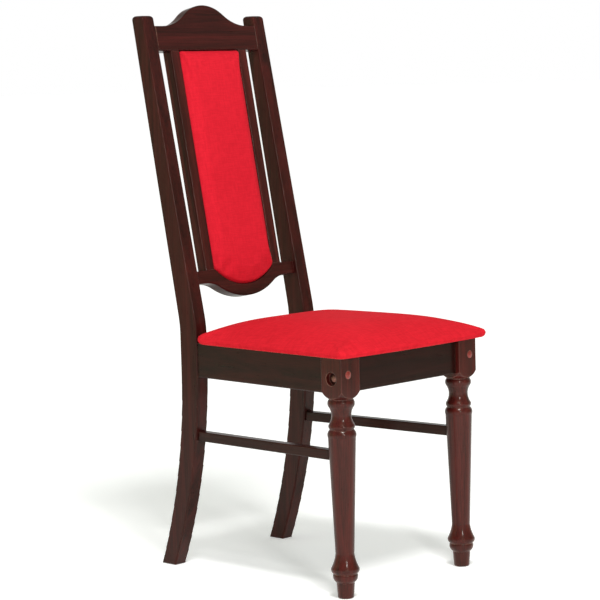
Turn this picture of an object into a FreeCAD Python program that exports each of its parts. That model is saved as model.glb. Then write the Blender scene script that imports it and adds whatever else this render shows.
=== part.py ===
import FreeCAD, Part
import math
import operator
import os
from types import SimpleNamespace

import Sketcher

# High-back side chair: turned front legs, sabre rear legs, padded seat and padded back panel.
# The chair stands on Z = 0 and faces -Y; the sitter's right hand is on the -X side.
# Sketches count Y from the front faces of the front legs; Placement then centres the chair on its origin.

# Driving dimensions in millimetres, angles in degrees
SIZES = {
    # Plan of the legs
    "front_width": 370.0,
    "rear_width": 323.0,
    "leg_spacing": 385.0,
    # Seat frame
    "apron_bottom": 365.0,
    "apron_height": 64.0,
    "apron_thickness": 23.0,
    "front_apron_setback": 9.5,
    "side_apron_setback": 2.5,
    "rear_apron_setback": 8.0,
    "apron_arris": 2.0,
    # Front leg: square block
    "block_size": 48.5,
    "block_arris": 1.5,
    "pommel_drop": 10.5,
    "pommel_height": 14.5,
    "pommel_bulge": 1.5,
    # Front leg: turning, from the floor up
    "foot_radius": 14.5,
    "foot_edge": 1.5,
    "foot_top_radius": 16.4,
    "foot_height": 28.0,
    "ring_radius": 21.4,
    "ring_height": 15.5,
    "ring_bulge": 3.0,
    "lip_radius": 25.2,
    "lip_height": 9.5,
    "lip_bulge": 1.6,
    "bell_height": 26.0,
    "bell_hollow": 1.3,
    "shaft_bottom_radius": 16.8,
    "shaft_top_radius": 24.6,
    "shoulder_height": 13.5,
    "shoulder_bulge": 2.3,
    "groove_radius": 21.6,
    "groove_height": 1.5,
    "lower_bead_radius": 22.6,
    "lower_bead_height": 8.0,
    "lower_bead_bulge": 1.4,
    "cove_height": 30.0,
    "cove_hollow": 4.4,
    "upper_bead_radius": 21.4,
    "upper_bead_height": 14.0,
    "upper_bead_bulge": 2.6,
    "neck_radius": 21.8,
    "neck_height": 1.5,
    # Rear leg
    "rear_leg_width": 29.0,
    "rear_leg_depth": 44.0,
    "rear_foot_splay": 78.0,
    "rear_foot_depth": 36.0,
    "front_sabre_start": 395.0,
    "rear_sabre_start": 378.0,
    "knee_height": 461.0,
    "knee_radius": 180.0,
    "stile_rake_angle": 11.6,
    "stile_top_height": 1038.0,
    "stile_top_depth": 30.0,
    "stile_top_round": 7.0,
    "stile_arris": 2.5,
    # Side stretchers
    "stretcher_top": 262.0,
    "stretcher_height": 18.0,
    "stretcher_thickness": 18.0,
    "stretcher_arris": 1.5,
    "stretcher_tenon": 14.0,
    # Plane of the rails, slats and panel: a little steeper than the stiles, and flush with them at the crest
    "back_rake_angle": 10.58,
    "back_setback": 9.7,
    # Crest rail, its lower edge a drop below the tops of the stiles
    "crest_drop": 66.5,
    "crest_shoulder_height": 47.5,
    "crest_rise": 40.3,
    "crest_peak_radius": 80.0,
    "crest_shoulder_flat": 20.5,
    "crest_thickness": 28.0,
    "crest_arris": 3.0,
    # Lower back rail, measured along that plane from the knee
    "lower_rail_bottom": 75.5,
    "lower_rail_height": 24.5,
    "lower_rail_drop": 31.3,
    "lower_rail_belly_radius": 132.0,
    "lower_rail_shoulder_flat": 27.5,
    "lower_rail_arch_depth": 33.0,
    "lower_rail_arch_inset": 1.0,
    "lower_rail_thickness": 27.0,
    "lower_rail_arris": 2.5,
    # Back slats
    "slat_outer_spacing": 202.0,
    "slat_width": 23.0,
    "slat_thickness": 23.0,
    "slat_setback": 2.2,
    "slat_arris": 2.5,
    "slat_tenon": 10.0,
    "slat_tenon_shoulder": 4.0,
    # Back panel
    "panel_board_thickness": 6.0,
    "panel_board_setback": 12.0,
    "panel_tongue": 5.0,
    "panel_crown": 19.0,
    "panel_crown_reach": 8.0,
    "panel_corner": 5.0,
    "panel_gap": 0.5,
    "rear_cloth_thickness": 1.0,
    # Seat
    "seat_board_thickness": 9.0,
    "seat_overhang": 15.0,
    "seat_front_overhang": 17.0,
    "seat_front_bow": 8.0,
    "seat_rear_gap": 3.0,
    "seat_edge_tuck": 4.0,
    "seat_front_corner": 12.0,
    "seat_rear_corner": 26.0,
    "seat_crown": 40.0,
    "seat_crown_flat_width": 110.0,
    "seat_crown_flat_depth": 110.0,
    "seat_crown_flat_corner": 45.0,
    "cover_thickness": 1.5,
    "dust_cloth_thickness": 0.8,
    "dust_cloth_margin": 4.0,
    # Corner blocks
    "corner_block_leg": 42.0,
    "corner_block_height": 30.0,
    # Leg bolts and barrel nuts
    "bolt_drop": 38.0,
    "bolt_radius": 3.0,
    "bolt_head_radius": 8.5,
    "bolt_head_height": 5.0,
    "bolt_recess_radius": 12.0,
    "bolt_recess_depth": 9.0,
    "bolt_reach": 34.0,
    "nut_radius": 5.0,
    "nut_length": 14.0,
    "nut_setback": 24.0,
    # Leg screws and plugs
    "leg_screw_drop": 31.0,
    "leg_screw_inset": 18.0,
    "leg_screw_radius": 2.2,
    "leg_screw_head_radius": 4.2,
    "leg_screw_head_height": 3.0,
    "leg_screw_reach": 30.0,
    "plug_radius": 6.8,
    "plug_depth": 6.0,
    "plug_dome": 1.6,
    # Lag screws through the corner blocks, and seat screws
    "lag_radius": 3.0,
    "lag_head_radius": 6.0,
    "lag_head_height": 4.0,
    "lag_bite": 16.0,
    "seat_screw_radius": 2.0,
    "seat_screw_head_radius": 4.0,
    "seat_screw_head_height": 2.5,
    "seat_screw_bite": 6.0,
    "seat_screw_offset": 10.0,
    # Dowels
    "dowel_radius": 4.0,
    "dowel_bite": 16.0,
    "crest_dowel_margin": 13.0,
    "crest_dowel_spacing": 20.0,
    "rail_dowel_spacing": 11.0,
    # Fits
    "fit_clearance": 0.1,
    "soft_clearance": 0.3,
    "end_clearance": 1.0,
}

doc = FreeCAD.newDocument("Chair")
sheet = doc.addObject("Spreadsheet::Sheet", "Sizes")
for row, (alias, number) in enumerate(SIZES.items(), start=1):
    sheet.set(f"A{row}", alias)
    sheet.set(f"B{row}", str(number))
    sheet.setAlias(f"B{row}", alias)
doc.recompute()


class Size:
    """A dimension: its value now, and the expression that binds it to the sheet."""

    def __init__(self, value, text):
        self.value = value
        self.text = text

    def __add__(self, other):
        return combine("+", self, other)

    def __radd__(self, other):
        return combine("+", other, self)

    def __sub__(self, other):
        return combine("-", self, other)

    def __rsub__(self, other):
        return combine("-", other, self)

    def __mul__(self, other):
        return combine("*", self, other)

    def __rmul__(self, other):
        return combine("*", other, self)

    def __truediv__(self, other):
        return combine("/", self, other)

    def __rtruediv__(self, other):
        return combine("/", other, self)

    def __neg__(self):
        return combine("*", -1, self)


OPERATIONS = {"+": operator.add, "-": operator.sub, "*": operator.mul, "/": operator.truediv}
FUNCTIONS = {
    "sin": lambda angle: math.sin(math.radians(angle)),
    "cos": lambda angle: math.cos(math.radians(angle)),
    "tan": lambda angle: math.tan(math.radians(angle)),
    "atan": lambda ratio: math.degrees(math.atan(ratio)),
    "sqrt": math.sqrt,
}


def as_size(item):
    """A plain number as a Size, so that both kinds mix in sums."""
    if isinstance(item, Size):
        return item
    return Size(float(item), f"({float(item):.9f})")


def combine(sign, first, second):
    """The sum, difference, product or quotient of two sizes."""
    first = as_size(first)
    second = as_size(second)
    return Size(OPERATIONS[sign](first.value, second.value), f"({first.text} {sign} {second.text})")


def function(name, item):
    """A function of a size, such as the tangent of an angle."""
    return Size(FUNCTIONS[name](item.value), f"{name}({item.text})")


def between(first, second, share):
    """The size a given share of the way from the first to the second."""
    return first + (second - first) * share


size = SimpleNamespace(**{alias: Size(number, f"Sizes.{alias}") for alias, number in SIZES.items()})

# Sizes that follow from the driving ones
front_half = size.front_width / 2
rear_half = size.rear_width / 2
apron_top = size.apron_bottom + size.apron_height
block_half = size.block_size / 2
front_axis = front_half - block_half
rear_axis = rear_half - size.rear_leg_width / 2
rear_inner = rear_half - size.rear_leg_width
front_inner = front_half - size.block_size
neck_level = size.apron_bottom - size.pommel_drop
side_taper = (front_half - rear_half) / (size.leg_spacing - size.block_size)
sin_rake = function("sin", size.back_rake_angle)
cos_rake = function("cos", size.back_rake_angle)
crest_bottom = (size.stile_top_height - size.knee_height) / cos_rake - size.crest_drop
crest_peak = crest_bottom + size.crest_shoulder_height + size.crest_rise


def seat_half(depth):
    """Half the seat's width at a depth behind the front: a constant overhang past the side aprons."""
    taper = side_taper * (depth - size.block_size)
    return front_half - size.side_apron_setback + size.seat_overhang - taper


# The chair's middle lies halfway between the seat's bowed front and the rounded rear edge of the crest rail
seat_front_line = -1 * size.seat_front_overhang
seat_rear_line = size.leg_spacing - size.seat_rear_gap
seat_front_half = seat_half(seat_front_line)
seat_bow = 2 * function("atan", size.seat_front_bow / seat_front_half)
seat_bow_half = seat_front_half - size.seat_front_corner * function("cos", seat_bow)
seat_front = (seat_front_line - size.seat_front_corner * function("sin", seat_bow)
              - seat_bow_half * function("tan", seat_bow / 2))
back_front = size.leg_spacing + size.back_setback
back_reach = (back_front + (crest_peak - size.crest_arris) * sin_rake
              + (size.crest_thickness - size.crest_arris) * cos_rake + size.crest_arris)
chair_middle = (seat_front + back_reach) / 2
CHAIR_PLACE = (0, -1 * chair_middle, 0)
BACK_PLACE = (0, back_front - chair_middle, size.knee_height)

NODES = {}
RIGHT_LEFT = (("right", -1), ("left", 1))


def vector(point):
    """A point given by three sizes, at their values now."""
    return FreeCAD.Vector(*(as_size(item).value for item in point))


def bind(target, path, item):
    """Binds one property to the sheet; a plain number stays as it was set."""
    if isinstance(item, Size):
        target.setExpression(path, item.text)


def place(target, base, rotation=FreeCAD.Rotation(), prefix="Placement"):
    """Puts an object at a point given by sizes, turned by a rotation."""
    setattr(target, prefix, FreeCAD.Placement(vector(base), rotation))
    for axis, item in zip("xyz", base):
        bind(target, f"{prefix}.Base.{axis}", item)


def new_body(name, node=True):
    """An empty body in the chair's frame; a node is written to a file of its own."""
    body = doc.addObject("PartDesign::Body", name)
    body.Label = name
    place(body, CHAIR_PLACE)
    if node:
        NODES[name] = body
    return body


def tilt_with_back(body):
    """Lays a body's XZ plane on the raked front plane of the back, with its origin level with the knee."""
    place(body, BACK_PLACE, FreeCAD.Rotation(FreeCAD.Vector(1, 0, 0), -size.back_rake_angle.value))
    bind(body, "Placement.Rotation.Angle", size.back_rake_angle)
    body.setExpression("Placement.Rotation.Axis.x", "-1")


def origin_feature(body, role):
    """One of a body's own planes or axes."""
    return next(item for item in body.Origin.OriginFeatures if item.Role == role)


def new_sketch(body, plane, name, offset=(0, 0, 0)):
    """A sketch on one of the body's planes, moved by an offset in the sketch's own axes."""
    sketch = body.newObject("Sketcher::SketchObject", name)
    sketch.AttachmentSupport = (origin_feature(body, plane), [""])
    sketch.MapMode = "FlatFace"
    place(sketch, offset, prefix="AttachmentOffset")
    return sketch


def bowed(first, second, bulge):
    """The radius of the arc that joins two points and stands off their chord by a bulge."""
    run = second[0] - first[0]
    rise = second[1] - first[1]
    return (run * run + rise * rise) / (8 * bulge) + bulge / 2


def arc_edge(start, end, radius):
    """The arc under half a circle from start to end; a positive radius turns left on the way."""
    chord = end - start
    across = FreeCAD.Vector(-chord.y, chord.x, 0)
    across.normalize()
    rise = math.sqrt(max(radius * radius - chord.Length ** 2 / 4, 0.0))
    centre = (start + end) * 0.5 + across * math.copysign(rise, radius)
    first, last = (start, end) if radius > 0 else (end, start)
    begin = math.atan2(first.y - centre.y, first.x - centre.x)
    finish = math.atan2(last.y - centre.y, last.x - centre.x)
    if finish < begin:
        finish += 2 * math.pi
    circle = Part.Circle(centre, FreeCAD.Vector(0, 0, 1), abs(radius))
    return Part.ArcOfCircle(circle, begin, finish)


def draw_outline(sketch, corners):
    """Draws a closed outline, counter-clockwise; a corner is (u, v), with a radius where an arc leaves it."""
    points = [vector((corner[0], corner[1], 0)) for corner in corners]
    ends = []
    for index, corner in enumerate(corners):
        start = points[index]
        end = points[(index + 1) % len(points)]
        radius = as_size(corner[2]).value if len(corner) == 3 else 0.0
        if radius:
            sketch.addGeometry(arc_edge(start, end, radius), False)
        else:
            sketch.addGeometry(Part.LineSegment(start, end), False)
        ends.append((2, 1) if radius < 0 else (1, 2))
    for index, corner in enumerate(corners):
        following = (index + 1) % len(corners)
        first_end = ends[index][0]
        sketch.addConstraint(
            Sketcher.Constraint("Coincident", index, ends[index][1], following, ends[following][0]))
        for kind, item in (("DistanceX", corner[0]), ("DistanceY", corner[1])):
            place_rule = Sketcher.Constraint(kind, index, first_end, as_size(item).value)
            rule = sketch.addConstraint(place_rule)
            bind(sketch, f"Constraints[{rule}]", item)
        if len(corner) == 3:
            radius = corner[2] if corner[2].value > 0 else -corner[2]
            rule = sketch.addConstraint(Sketcher.Constraint("Radius", index, radius.value))
            bind(sketch, f"Constraints[{rule}]", radius)


def pad(body, sketch, length, reverse=False):
    """Raises a solid from a sketch."""
    feature = body.newObject("PartDesign::Pad", f"{sketch.Name}_pad")
    feature.Profile = sketch
    feature.Reversed = reverse
    bind(feature, "Length", length)
    doc.recompute()
    return feature


def turn(body, sketch, kind="PartDesign::Revolution"):
    """Turns a profile about the sketch's upright axis, as on a lathe."""
    feature = body.newObject(kind, f"{sketch.Name}_turned")
    feature.Profile = sketch
    feature.ReferenceAxis = (sketch, ["V_Axis"])
    feature.Angle = 360.0
    doc.recompute()
    return feature


def round_edges(body, radius, wanted):
    """Rounds the edges of the body's last feature that a test picks."""
    base = body.Tip
    names = [f"Edge{number}" for number, edge in enumerate(base.Shape.Edges, start=1) if wanted(edge)]
    feature = body.newObject("PartDesign::Fillet", f"{body.Name}_round")
    feature.Base = (base, names)
    bind(feature, "Radius", radius)
    doc.recompute()
    return feature


def runs_along(edge, axis):
    """True where an edge is straight and parallel to an axis, given as 0, 1 or 2."""
    span = edge.BoundBox
    lengths = (span.XLength, span.YLength, span.ZLength)
    return all(length < 1e-6 for index, length in enumerate(lengths) if index != axis)


def drill(body, name, mouth, direction, radius, depth):
    """Drills a round hole from its mouth along a direction."""
    hole = body.newObject("PartDesign::SubtractiveCylinder", name)
    hole.AttachmentSupport = (origin_feature(body, "XY_Plane"), [""])
    hole.MapMode = "ObjectXY"
    aim = FreeCAD.Rotation(FreeCAD.Vector(0, 0, 1), FreeCAD.Vector(*direction))
    place(hole, mouth, aim, prefix="AttachmentOffset")
    bind(hole, "Radius", radius)
    bind(hole, "Height", depth)
    doc.recompute()
    return hole


def chop(body, name, low, lengths):
    """Chops a square-cornered mortise from its lowest corner."""
    box = body.newObject("PartDesign::SubtractiveBox", name)
    box.AttachmentSupport = (origin_feature(body, "XY_Plane"), [""])
    box.MapMode = "ObjectXY"
    place(box, low, prefix="AttachmentOffset")
    for side, length in zip(("Length", "Width", "Height"), lengths):
        bind(box, side, length)
    doc.recompute()
    return box


def group(name, members):
    """Like fasteners as one node of separate solids."""
    compound = doc.addObject("Part::Compound", name)
    compound.Label = name
    compound.Links = members
    doc.recompute()
    NODES[name] = compound


def on_back(across, depth, along):
    """A point of the raked back in the chair's frame: X, depth behind its front, length from the knee."""
    return (across,
            back_front + along * sin_rake + depth * cos_rake,
            size.knee_height + along * cos_rake - depth * sin_rake)


def in_room(point):
    """A point of the sketches' frame, counted from the chair's origin."""
    return (point[0], point[1] - chair_middle, point[2])


# Places that holes and fasteners share
bolt_level = apron_top - size.bolt_drop
bolt_depth = block_half
leg_screw_level = apron_top - size.leg_screw_drop
leg_screw_across = front_half - size.leg_screw_inset
hole_of_dowel = size.dowel_radius + size.fit_clearance
dowel_hole_depth = size.dowel_bite + size.end_clearance
joint_levels = [size.apron_bottom + size.apron_height * (step / 6) for step in range(1, 6)]
side_dowel_levels = (joint_levels[0], joint_levels[2])
rear_dowel_levels = (joint_levels[1], joint_levels[3])
lag_level = joint_levels[4]
rear_apron_front = size.leg_spacing + size.rear_apron_setback
rear_dowel_depth = rear_apron_front + size.apron_thickness / 2
side_dowel_across = rear_half - size.side_apron_setback - size.apron_thickness / 2
crest_dowels = tuple((size.crest_thickness / 2, crest_bottom + size.crest_dowel_margin + step)
                     for step in (0, size.crest_dowel_spacing))
rail_dowels = tuple((size.lower_rail_thickness / 2 + shift,
                     size.lower_rail_bottom + size.lower_rail_height / 2)
                    for shift in (-1 * size.rail_dowel_spacing / 2, size.rail_dowel_spacing / 2))
stretcher_bottom = size.stretcher_top - size.stretcher_height
stretcher_half = size.stretcher_thickness / 2
stretcher_front_end = size.block_size - size.stretcher_tenon
sabre_radius = (size.front_sabre_start * size.front_sabre_start
                + size.rear_foot_splay * size.rear_foot_splay) / (2 * size.rear_foot_splay)
sabre_fall = size.front_sabre_start - size.stretcher_top
stretcher_rear_face = (size.leg_spacing + sabre_radius
                       - function("sqrt", sabre_radius * sabre_radius - sabre_fall * sabre_fall))
stretcher_rear_end = stretcher_rear_face + size.stretcher_tenon
front_apron_inside = size.front_apron_setback + size.apron_thickness
side_inside_front = front_half - size.side_apron_setback - size.apron_thickness


def side_apron_inside(depth):
    """Half the clear width between the side aprons, at a depth behind the front."""
    return side_inside_front - side_taper * (depth - size.block_size)


def corner_block_plan(front):
    """Half a corner's plan: apron face, leg corner, side apron face, and the long face at 45 degrees."""
    if front:
        apron_face = front_apron_inside
        leg_face = size.block_size
        leg_side = front_inner
        sense = 1
    else:
        apron_face = rear_apron_front
        leg_face = size.leg_spacing
        leg_side = rear_inner
        sense = -1
    toe = leg_side - size.corner_block_leg
    slope = side_taper * sense
    run = (side_apron_inside(apron_face) - toe) / (1 + slope)
    return SimpleNamespace(apron_face=apron_face, leg_face=leg_face, leg_side=leg_side, sense=sense,
                           toe=toe, heel_across=toe + run, heel_depth=apron_face + run * sense)


def corner_reach(plan):
    """How far the block's long face stands off the leg's corner, along X and along Y."""
    return (plan.leg_side - plan.toe - (plan.leg_face - plan.apron_face) * plan.sense) / 2


def seat_screw_spot(plan, side):
    """Where a seat screw stands in a corner block, beside the lag screw."""
    shift = size.seat_screw_offset * math.sqrt(0.5)
    reach = corner_reach(plan) / 2
    return side * (plan.leg_side - reach + shift), plan.leg_face + plan.sense * (reach + shift)


def lag_mouth(plan, side):
    """Where a corner block's long face meets the diagonal through the leg's corner."""
    reach = corner_reach(plan)
    return side * (plan.leg_side - reach), plan.leg_face + plan.sense * reach


def front_leg(name, side):
    """Turned leg below a square block, bored for its bolt, screw and stretcher."""
    body = new_body(name)
    axis = side * front_axis
    block = new_sketch(body, "XY_Plane", f"{name}_block", (axis, block_half, neck_level))
    draw_outline(block, [(-1 * block_half, -1 * block_half), (block_half, -1 * block_half),
                         (block_half, block_half), (-1 * block_half, block_half)])
    pad(body, block, apron_top - neck_level)
    round_edges(body, size.block_arris, lambda edge: runs_along(edge, 2))

    pommel = new_sketch(body, "XZ_Plane", f"{name}_pommel", (axis, 0, -1 * block_half))
    corner_radius = size.block_size * math.sqrt(0.5)
    clear_radius = size.block_size
    pommel_top = neck_level + size.pommel_height
    pommel_round = bowed((corner_radius, pommel_top), (size.neck_radius, neck_level), size.pommel_bulge)
    draw_outline(pommel, [(size.neck_radius, neck_level), (clear_radius, neck_level),
                          (clear_radius, pommel_top), (corner_radius, pommel_top, -1 * pommel_round)])
    turn(body, pommel, "PartDesign::Groove")

    ring_foot = size.foot_height
    lip_foot = ring_foot + size.ring_height
    bell_foot = lip_foot + size.lip_height
    shaft_foot = bell_foot + size.bell_height
    neck_foot = neck_level - size.neck_height
    upper_bead_foot = neck_foot - size.upper_bead_height
    cove_foot = upper_bead_foot - size.cove_height
    lower_bead_foot = cove_foot - size.lower_bead_height
    groove_foot = lower_bead_foot - size.groove_height
    shoulder_foot = groove_foot - size.shoulder_height
    profile = [
        (size.foot_radius - size.foot_edge, 0),
        (size.foot_radius, size.foot_edge),
        (size.foot_top_radius, ring_foot, size.ring_bulge),
        (size.ring_radius, lip_foot, size.lip_bulge),
        (size.lip_radius, bell_foot, -size.bell_hollow),
        (size.shaft_bottom_radius, shaft_foot),
        (size.shaft_top_radius, shoulder_foot, size.shoulder_bulge),
        (size.groove_radius, groove_foot),
        (size.groove_radius, lower_bead_foot, size.lower_bead_bulge),
        (size.lower_bead_radius, cove_foot, -size.cove_hollow),
        (size.upper_bead_radius, upper_bead_foot, size.upper_bead_bulge),
        (size.neck_radius, neck_foot),
        (size.neck_radius, neck_level),
    ]
    corners = [(0, 0)]
    for here, following in zip(profile, profile[1:] + [(0, neck_level)]):
        corners.append(here if len(here) == 2 else (here[0], here[1], bowed(here, following, here[2])))
    corners.append((0, neck_level))
    turning = new_sketch(body, "XZ_Plane", f"{name}_turning", (axis, 0, -1 * block_half))
    draw_outline(turning, corners)
    turn(body, turning)

    outside = side * front_half
    drill(body, f"{name}_bolt_recess", (outside, bolt_depth, bolt_level), (-side, 0, 0),
          size.bolt_recess_radius, size.bolt_recess_depth)
    drill(body, f"{name}_bolt_hole", (outside, bolt_depth, bolt_level), (-side, 0, 0),
          size.bolt_radius + size.fit_clearance, size.block_size)
    drill(body, f"{name}_plug_hole", (side * leg_screw_across, 0, leg_screw_level), (0, 1, 0),
          size.plug_radius + size.fit_clearance,
          size.plug_depth + size.leg_screw_head_height + size.fit_clearance)
    drill(body, f"{name}_screw_hole", (side * leg_screw_across, 0, leg_screw_level), (0, 1, 0),
          size.leg_screw_radius + size.fit_clearance, size.block_size)
    chop(body, f"{name}_mortise",
         (axis - stretcher_half - size.fit_clearance, stretcher_front_end - size.fit_clearance,
          stretcher_bottom - size.fit_clearance),
         (size.stretcher_thickness + 2 * size.fit_clearance, size.block_size,
          size.stretcher_height + 2 * size.fit_clearance))
    plan = corner_block_plan(front=True)
    drill(body, f"{name}_lag_hole", (side * plan.leg_side, plan.leg_face, lag_level), (side, -1, 0),
          size.lag_radius + size.fit_clearance, size.lag_bite + size.end_clearance)


for hand, side in RIGHT_LEFT:
    front_leg(f"front_leg_{hand}", side)


def rear_leg(name, side):
    """Sabre leg and raked stile in one piece, sawn from a plank to its side outline."""
    body = new_body(name)
    foot_front = size.leg_spacing + size.rear_foot_splay
    foot_rear = foot_front + size.rear_foot_depth
    rear_face = size.leg_spacing + size.rear_leg_depth
    rear_splay = foot_rear - rear_face
    rear_sabre_radius = (size.rear_sabre_start * size.rear_sabre_start
                         + rear_splay * rear_splay) / (2 * rear_splay)
    stile_rise = size.stile_top_height - size.knee_height
    top_front = size.leg_spacing + stile_rise * function("tan", size.stile_rake_angle)
    top_rear = top_front + size.stile_top_depth
    rear_rake = function("atan", (top_rear - rear_face) / stile_rise)
    front_tangent = size.knee_radius * function("tan", size.stile_rake_angle / 2)
    rear_tangent = size.knee_radius * function("tan", rear_rake / 2)
    outline = new_sketch(body, "YZ_Plane", f"{name}_outline",
                         (0, 0, side * rear_axis - size.rear_leg_width / 2))
    draw_outline(outline, [
        (foot_front, 0),
        (foot_rear, 0, -rear_sabre_radius),
        (rear_face, size.rear_sabre_start),
        (rear_face, size.knee_height - rear_tangent, -size.knee_radius),
        (rear_face + rear_tangent * function("sin", rear_rake),
         size.knee_height + rear_tangent * function("cos", rear_rake)),
        (top_rear, size.stile_top_height),
        (top_front, size.stile_top_height),
        (size.leg_spacing + front_tangent * function("sin", size.stile_rake_angle),
         size.knee_height + front_tangent * function("cos", size.stile_rake_angle), size.knee_radius),
        (size.leg_spacing, size.knee_height - front_tangent),
        (size.leg_spacing, size.front_sabre_start, sabre_radius),
    ])
    pad(body, outline, size.rear_leg_width)
    top = size.stile_top_height.value
    round_edges(body, size.stile_top_round, lambda edge: edge.BoundBox.ZMin > top - 1e-3)
    round_edges(body, size.stile_arris, lambda edge: edge.BoundBox.XLength < 1e-6
                and edge.BoundBox.ZMin < top - 2 * size.stile_top_round.value)

    inside = side * rear_inner
    chop(body, f"{name}_mortise",
         (side * rear_axis - stretcher_half - size.fit_clearance, size.leg_spacing,
          stretcher_bottom - size.fit_clearance),
         (size.stretcher_thickness + 2 * size.fit_clearance,
          stretcher_rear_end + size.fit_clearance - size.leg_spacing,
          size.stretcher_height + 2 * size.fit_clearance))
    for number, level in enumerate(side_dowel_levels):
        drill(body, f"{name}_side_dowel_{number}", (side * side_dowel_across, size.leg_spacing, level),
              (0, 1, 0), hole_of_dowel, dowel_hole_depth)
    for number, level in enumerate(rear_dowel_levels):
        drill(body, f"{name}_rear_dowel_{number}", (inside, rear_dowel_depth, level),
              (side, 0, 0), hole_of_dowel, dowel_hole_depth)
    for number, spot in enumerate(crest_dowels + rail_dowels):
        drill(body, f"{name}_rail_dowel_{number}", on_back(inside, *spot),
              (side, 0, 0), hole_of_dowel, dowel_hole_depth)
    plan = corner_block_plan(front=False)
    drill(body, f"{name}_lag_hole", (side * plan.leg_side, plan.leg_face, lag_level), (side, 1, 0),
          size.lag_radius + size.fit_clearance, size.lag_bite + size.end_clearance)


for hand, side in RIGHT_LEFT:
    rear_leg(f"rear_leg_{hand}", side)


def plank(name, corners, low, height):
    """A straight board stood on edge, from its plan."""
    body = new_body(name)
    plan = new_sketch(body, "XY_Plane", f"{name}_plan", (0, 0, low))
    draw_outline(plan, corners)
    pad(body, plan, height)
    return body


def on_underside(edge):
    """True for the edges on the underside of the seat frame."""
    return edge.BoundBox.ZMax < size.apron_bottom.value + 1e-3


def front_apron(name):
    """Board between the front legs, bored for the bolts and their barrel nuts."""
    body = plank(name, [(-1 * front_inner, size.front_apron_setback), (front_inner, size.front_apron_setback),
                        (front_inner, front_apron_inside), (-1 * front_inner, front_apron_inside)],
                 size.apron_bottom, size.apron_height)
    round_edges(body, size.apron_arris, lambda edge: on_underside(edge) and runs_along(edge, 0))
    for hand, side in RIGHT_LEFT:
        drill(body, f"{name}_bolt_{hand}", (side * front_inner, bolt_depth, bolt_level), (-side, 0, 0),
              size.bolt_radius + size.fit_clearance, size.bolt_reach + size.end_clearance)
        drill(body, f"{name}_nut_{hand}",
              (side * (front_inner - size.nut_setback), front_apron_inside, bolt_level), (0, -1, 0),
              size.nut_radius + size.fit_clearance,
              front_apron_inside - bolt_depth + size.nut_length / 2 + size.fit_clearance)


def side_apron(name, side):
    """Tapering side of the seat frame, screwed to the front leg and dowelled to the rear leg."""
    front_outside = front_half - size.side_apron_setback
    rear_outside = rear_half - size.side_apron_setback
    body = plank(name, [(side * front_outside, size.block_size), (side * rear_outside, size.leg_spacing),
                        (side * (rear_outside - size.apron_thickness), size.leg_spacing),
                        (side * (front_outside - size.apron_thickness), size.block_size)],
                 size.apron_bottom, size.apron_height)
    round_edges(body, size.apron_arris, lambda edge: on_underside(edge)
                and edge.BoundBox.YLength > size.block_size.value)
    drill(body, f"{name}_screw_hole", (side * leg_screw_across, size.block_size, leg_screw_level), (0, 1, 0),
          size.leg_screw_radius + size.fit_clearance, size.leg_screw_reach + size.end_clearance)
    for number, level in enumerate(side_dowel_levels):
        drill(body, f"{name}_dowel_{number}", (side * side_dowel_across, size.leg_spacing, level),
              (0, -1, 0), hole_of_dowel, dowel_hole_depth)


def rear_apron(name):
    """Board between the rear legs, dowelled at both ends."""
    rear = rear_apron_front + size.apron_thickness
    body = plank(name, [(-1 * rear_inner, rear_apron_front), (rear_inner, rear_apron_front),
                        (rear_inner, rear), (-1 * rear_inner, rear)],
                 size.apron_bottom, size.apron_height)
    round_edges(body, size.apron_arris, lambda edge: on_underside(edge) and runs_along(edge, 0))
    for hand, side in RIGHT_LEFT:
        for number, level in enumerate(rear_dowel_levels):
            drill(body, f"{name}_dowel_{hand}_{number}", (side * rear_inner, rear_dowel_depth, level),
                  (-side, 0, 0), hole_of_dowel, dowel_hole_depth)


def side_stretcher(name, side):
    """Square rod between front and rear leg, with its ends let into both."""
    front_centre = side * front_axis
    rear_centre = side * rear_axis
    body = plank(name, [
        (front_centre - stretcher_half, stretcher_front_end),
        (front_centre + stretcher_half, stretcher_front_end),
        (front_centre + stretcher_half, size.block_size),
        (rear_centre + stretcher_half, stretcher_rear_face),
        (rear_centre + stretcher_half, stretcher_rear_end),
        (rear_centre - stretcher_half, stretcher_rear_end),
        (rear_centre - stretcher_half, stretcher_rear_face),
        (front_centre - stretcher_half, size.block_size),
    ], stretcher_bottom, size.stretcher_height)
    round_edges(body, size.stretcher_arris, lambda edge: edge.BoundBox.YLength > size.leg_spacing.value / 2)


front_apron("front_apron")
rear_apron("rear_apron")
for hand, side in RIGHT_LEFT:
    side_apron(f"side_apron_{hand}", side)
    side_stretcher(f"side_stretcher_{hand}", side)

# The raked back: rails, slats and padded panel, drawn flat on the back's front plane
slat_outer = size.slat_outer_spacing / 2
slat_inner = slat_outer - size.slat_width
lower_rail_top = size.lower_rail_bottom + size.lower_rail_height
arch_half = slat_inner - size.lower_rail_arch_inset
slat_rear = size.slat_setback + size.slat_thickness
tenon_width = size.slat_width - 2 * size.slat_tenon_shoulder
tenon_thickness = size.slat_thickness - 2 * size.slat_tenon_shoulder


def back_sketch(body, name, depth):
    """A sketch on the raked back, a depth behind its front plane."""
    return new_sketch(body, "XZ_Plane", name, (0, 0, -1 * depth))


def ogee(run, drop, crown_radius):
    """A crown arc flowing into a hollow arc: the join between them and the hollow's radius."""
    slope = 2 * function("atan", drop / run)
    join_across = crown_radius * function("sin", slope)
    join_fall = crown_radius - crown_radius * function("cos", slope)
    return join_across, join_fall, run / function("sin", slope) - crown_radius


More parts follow.
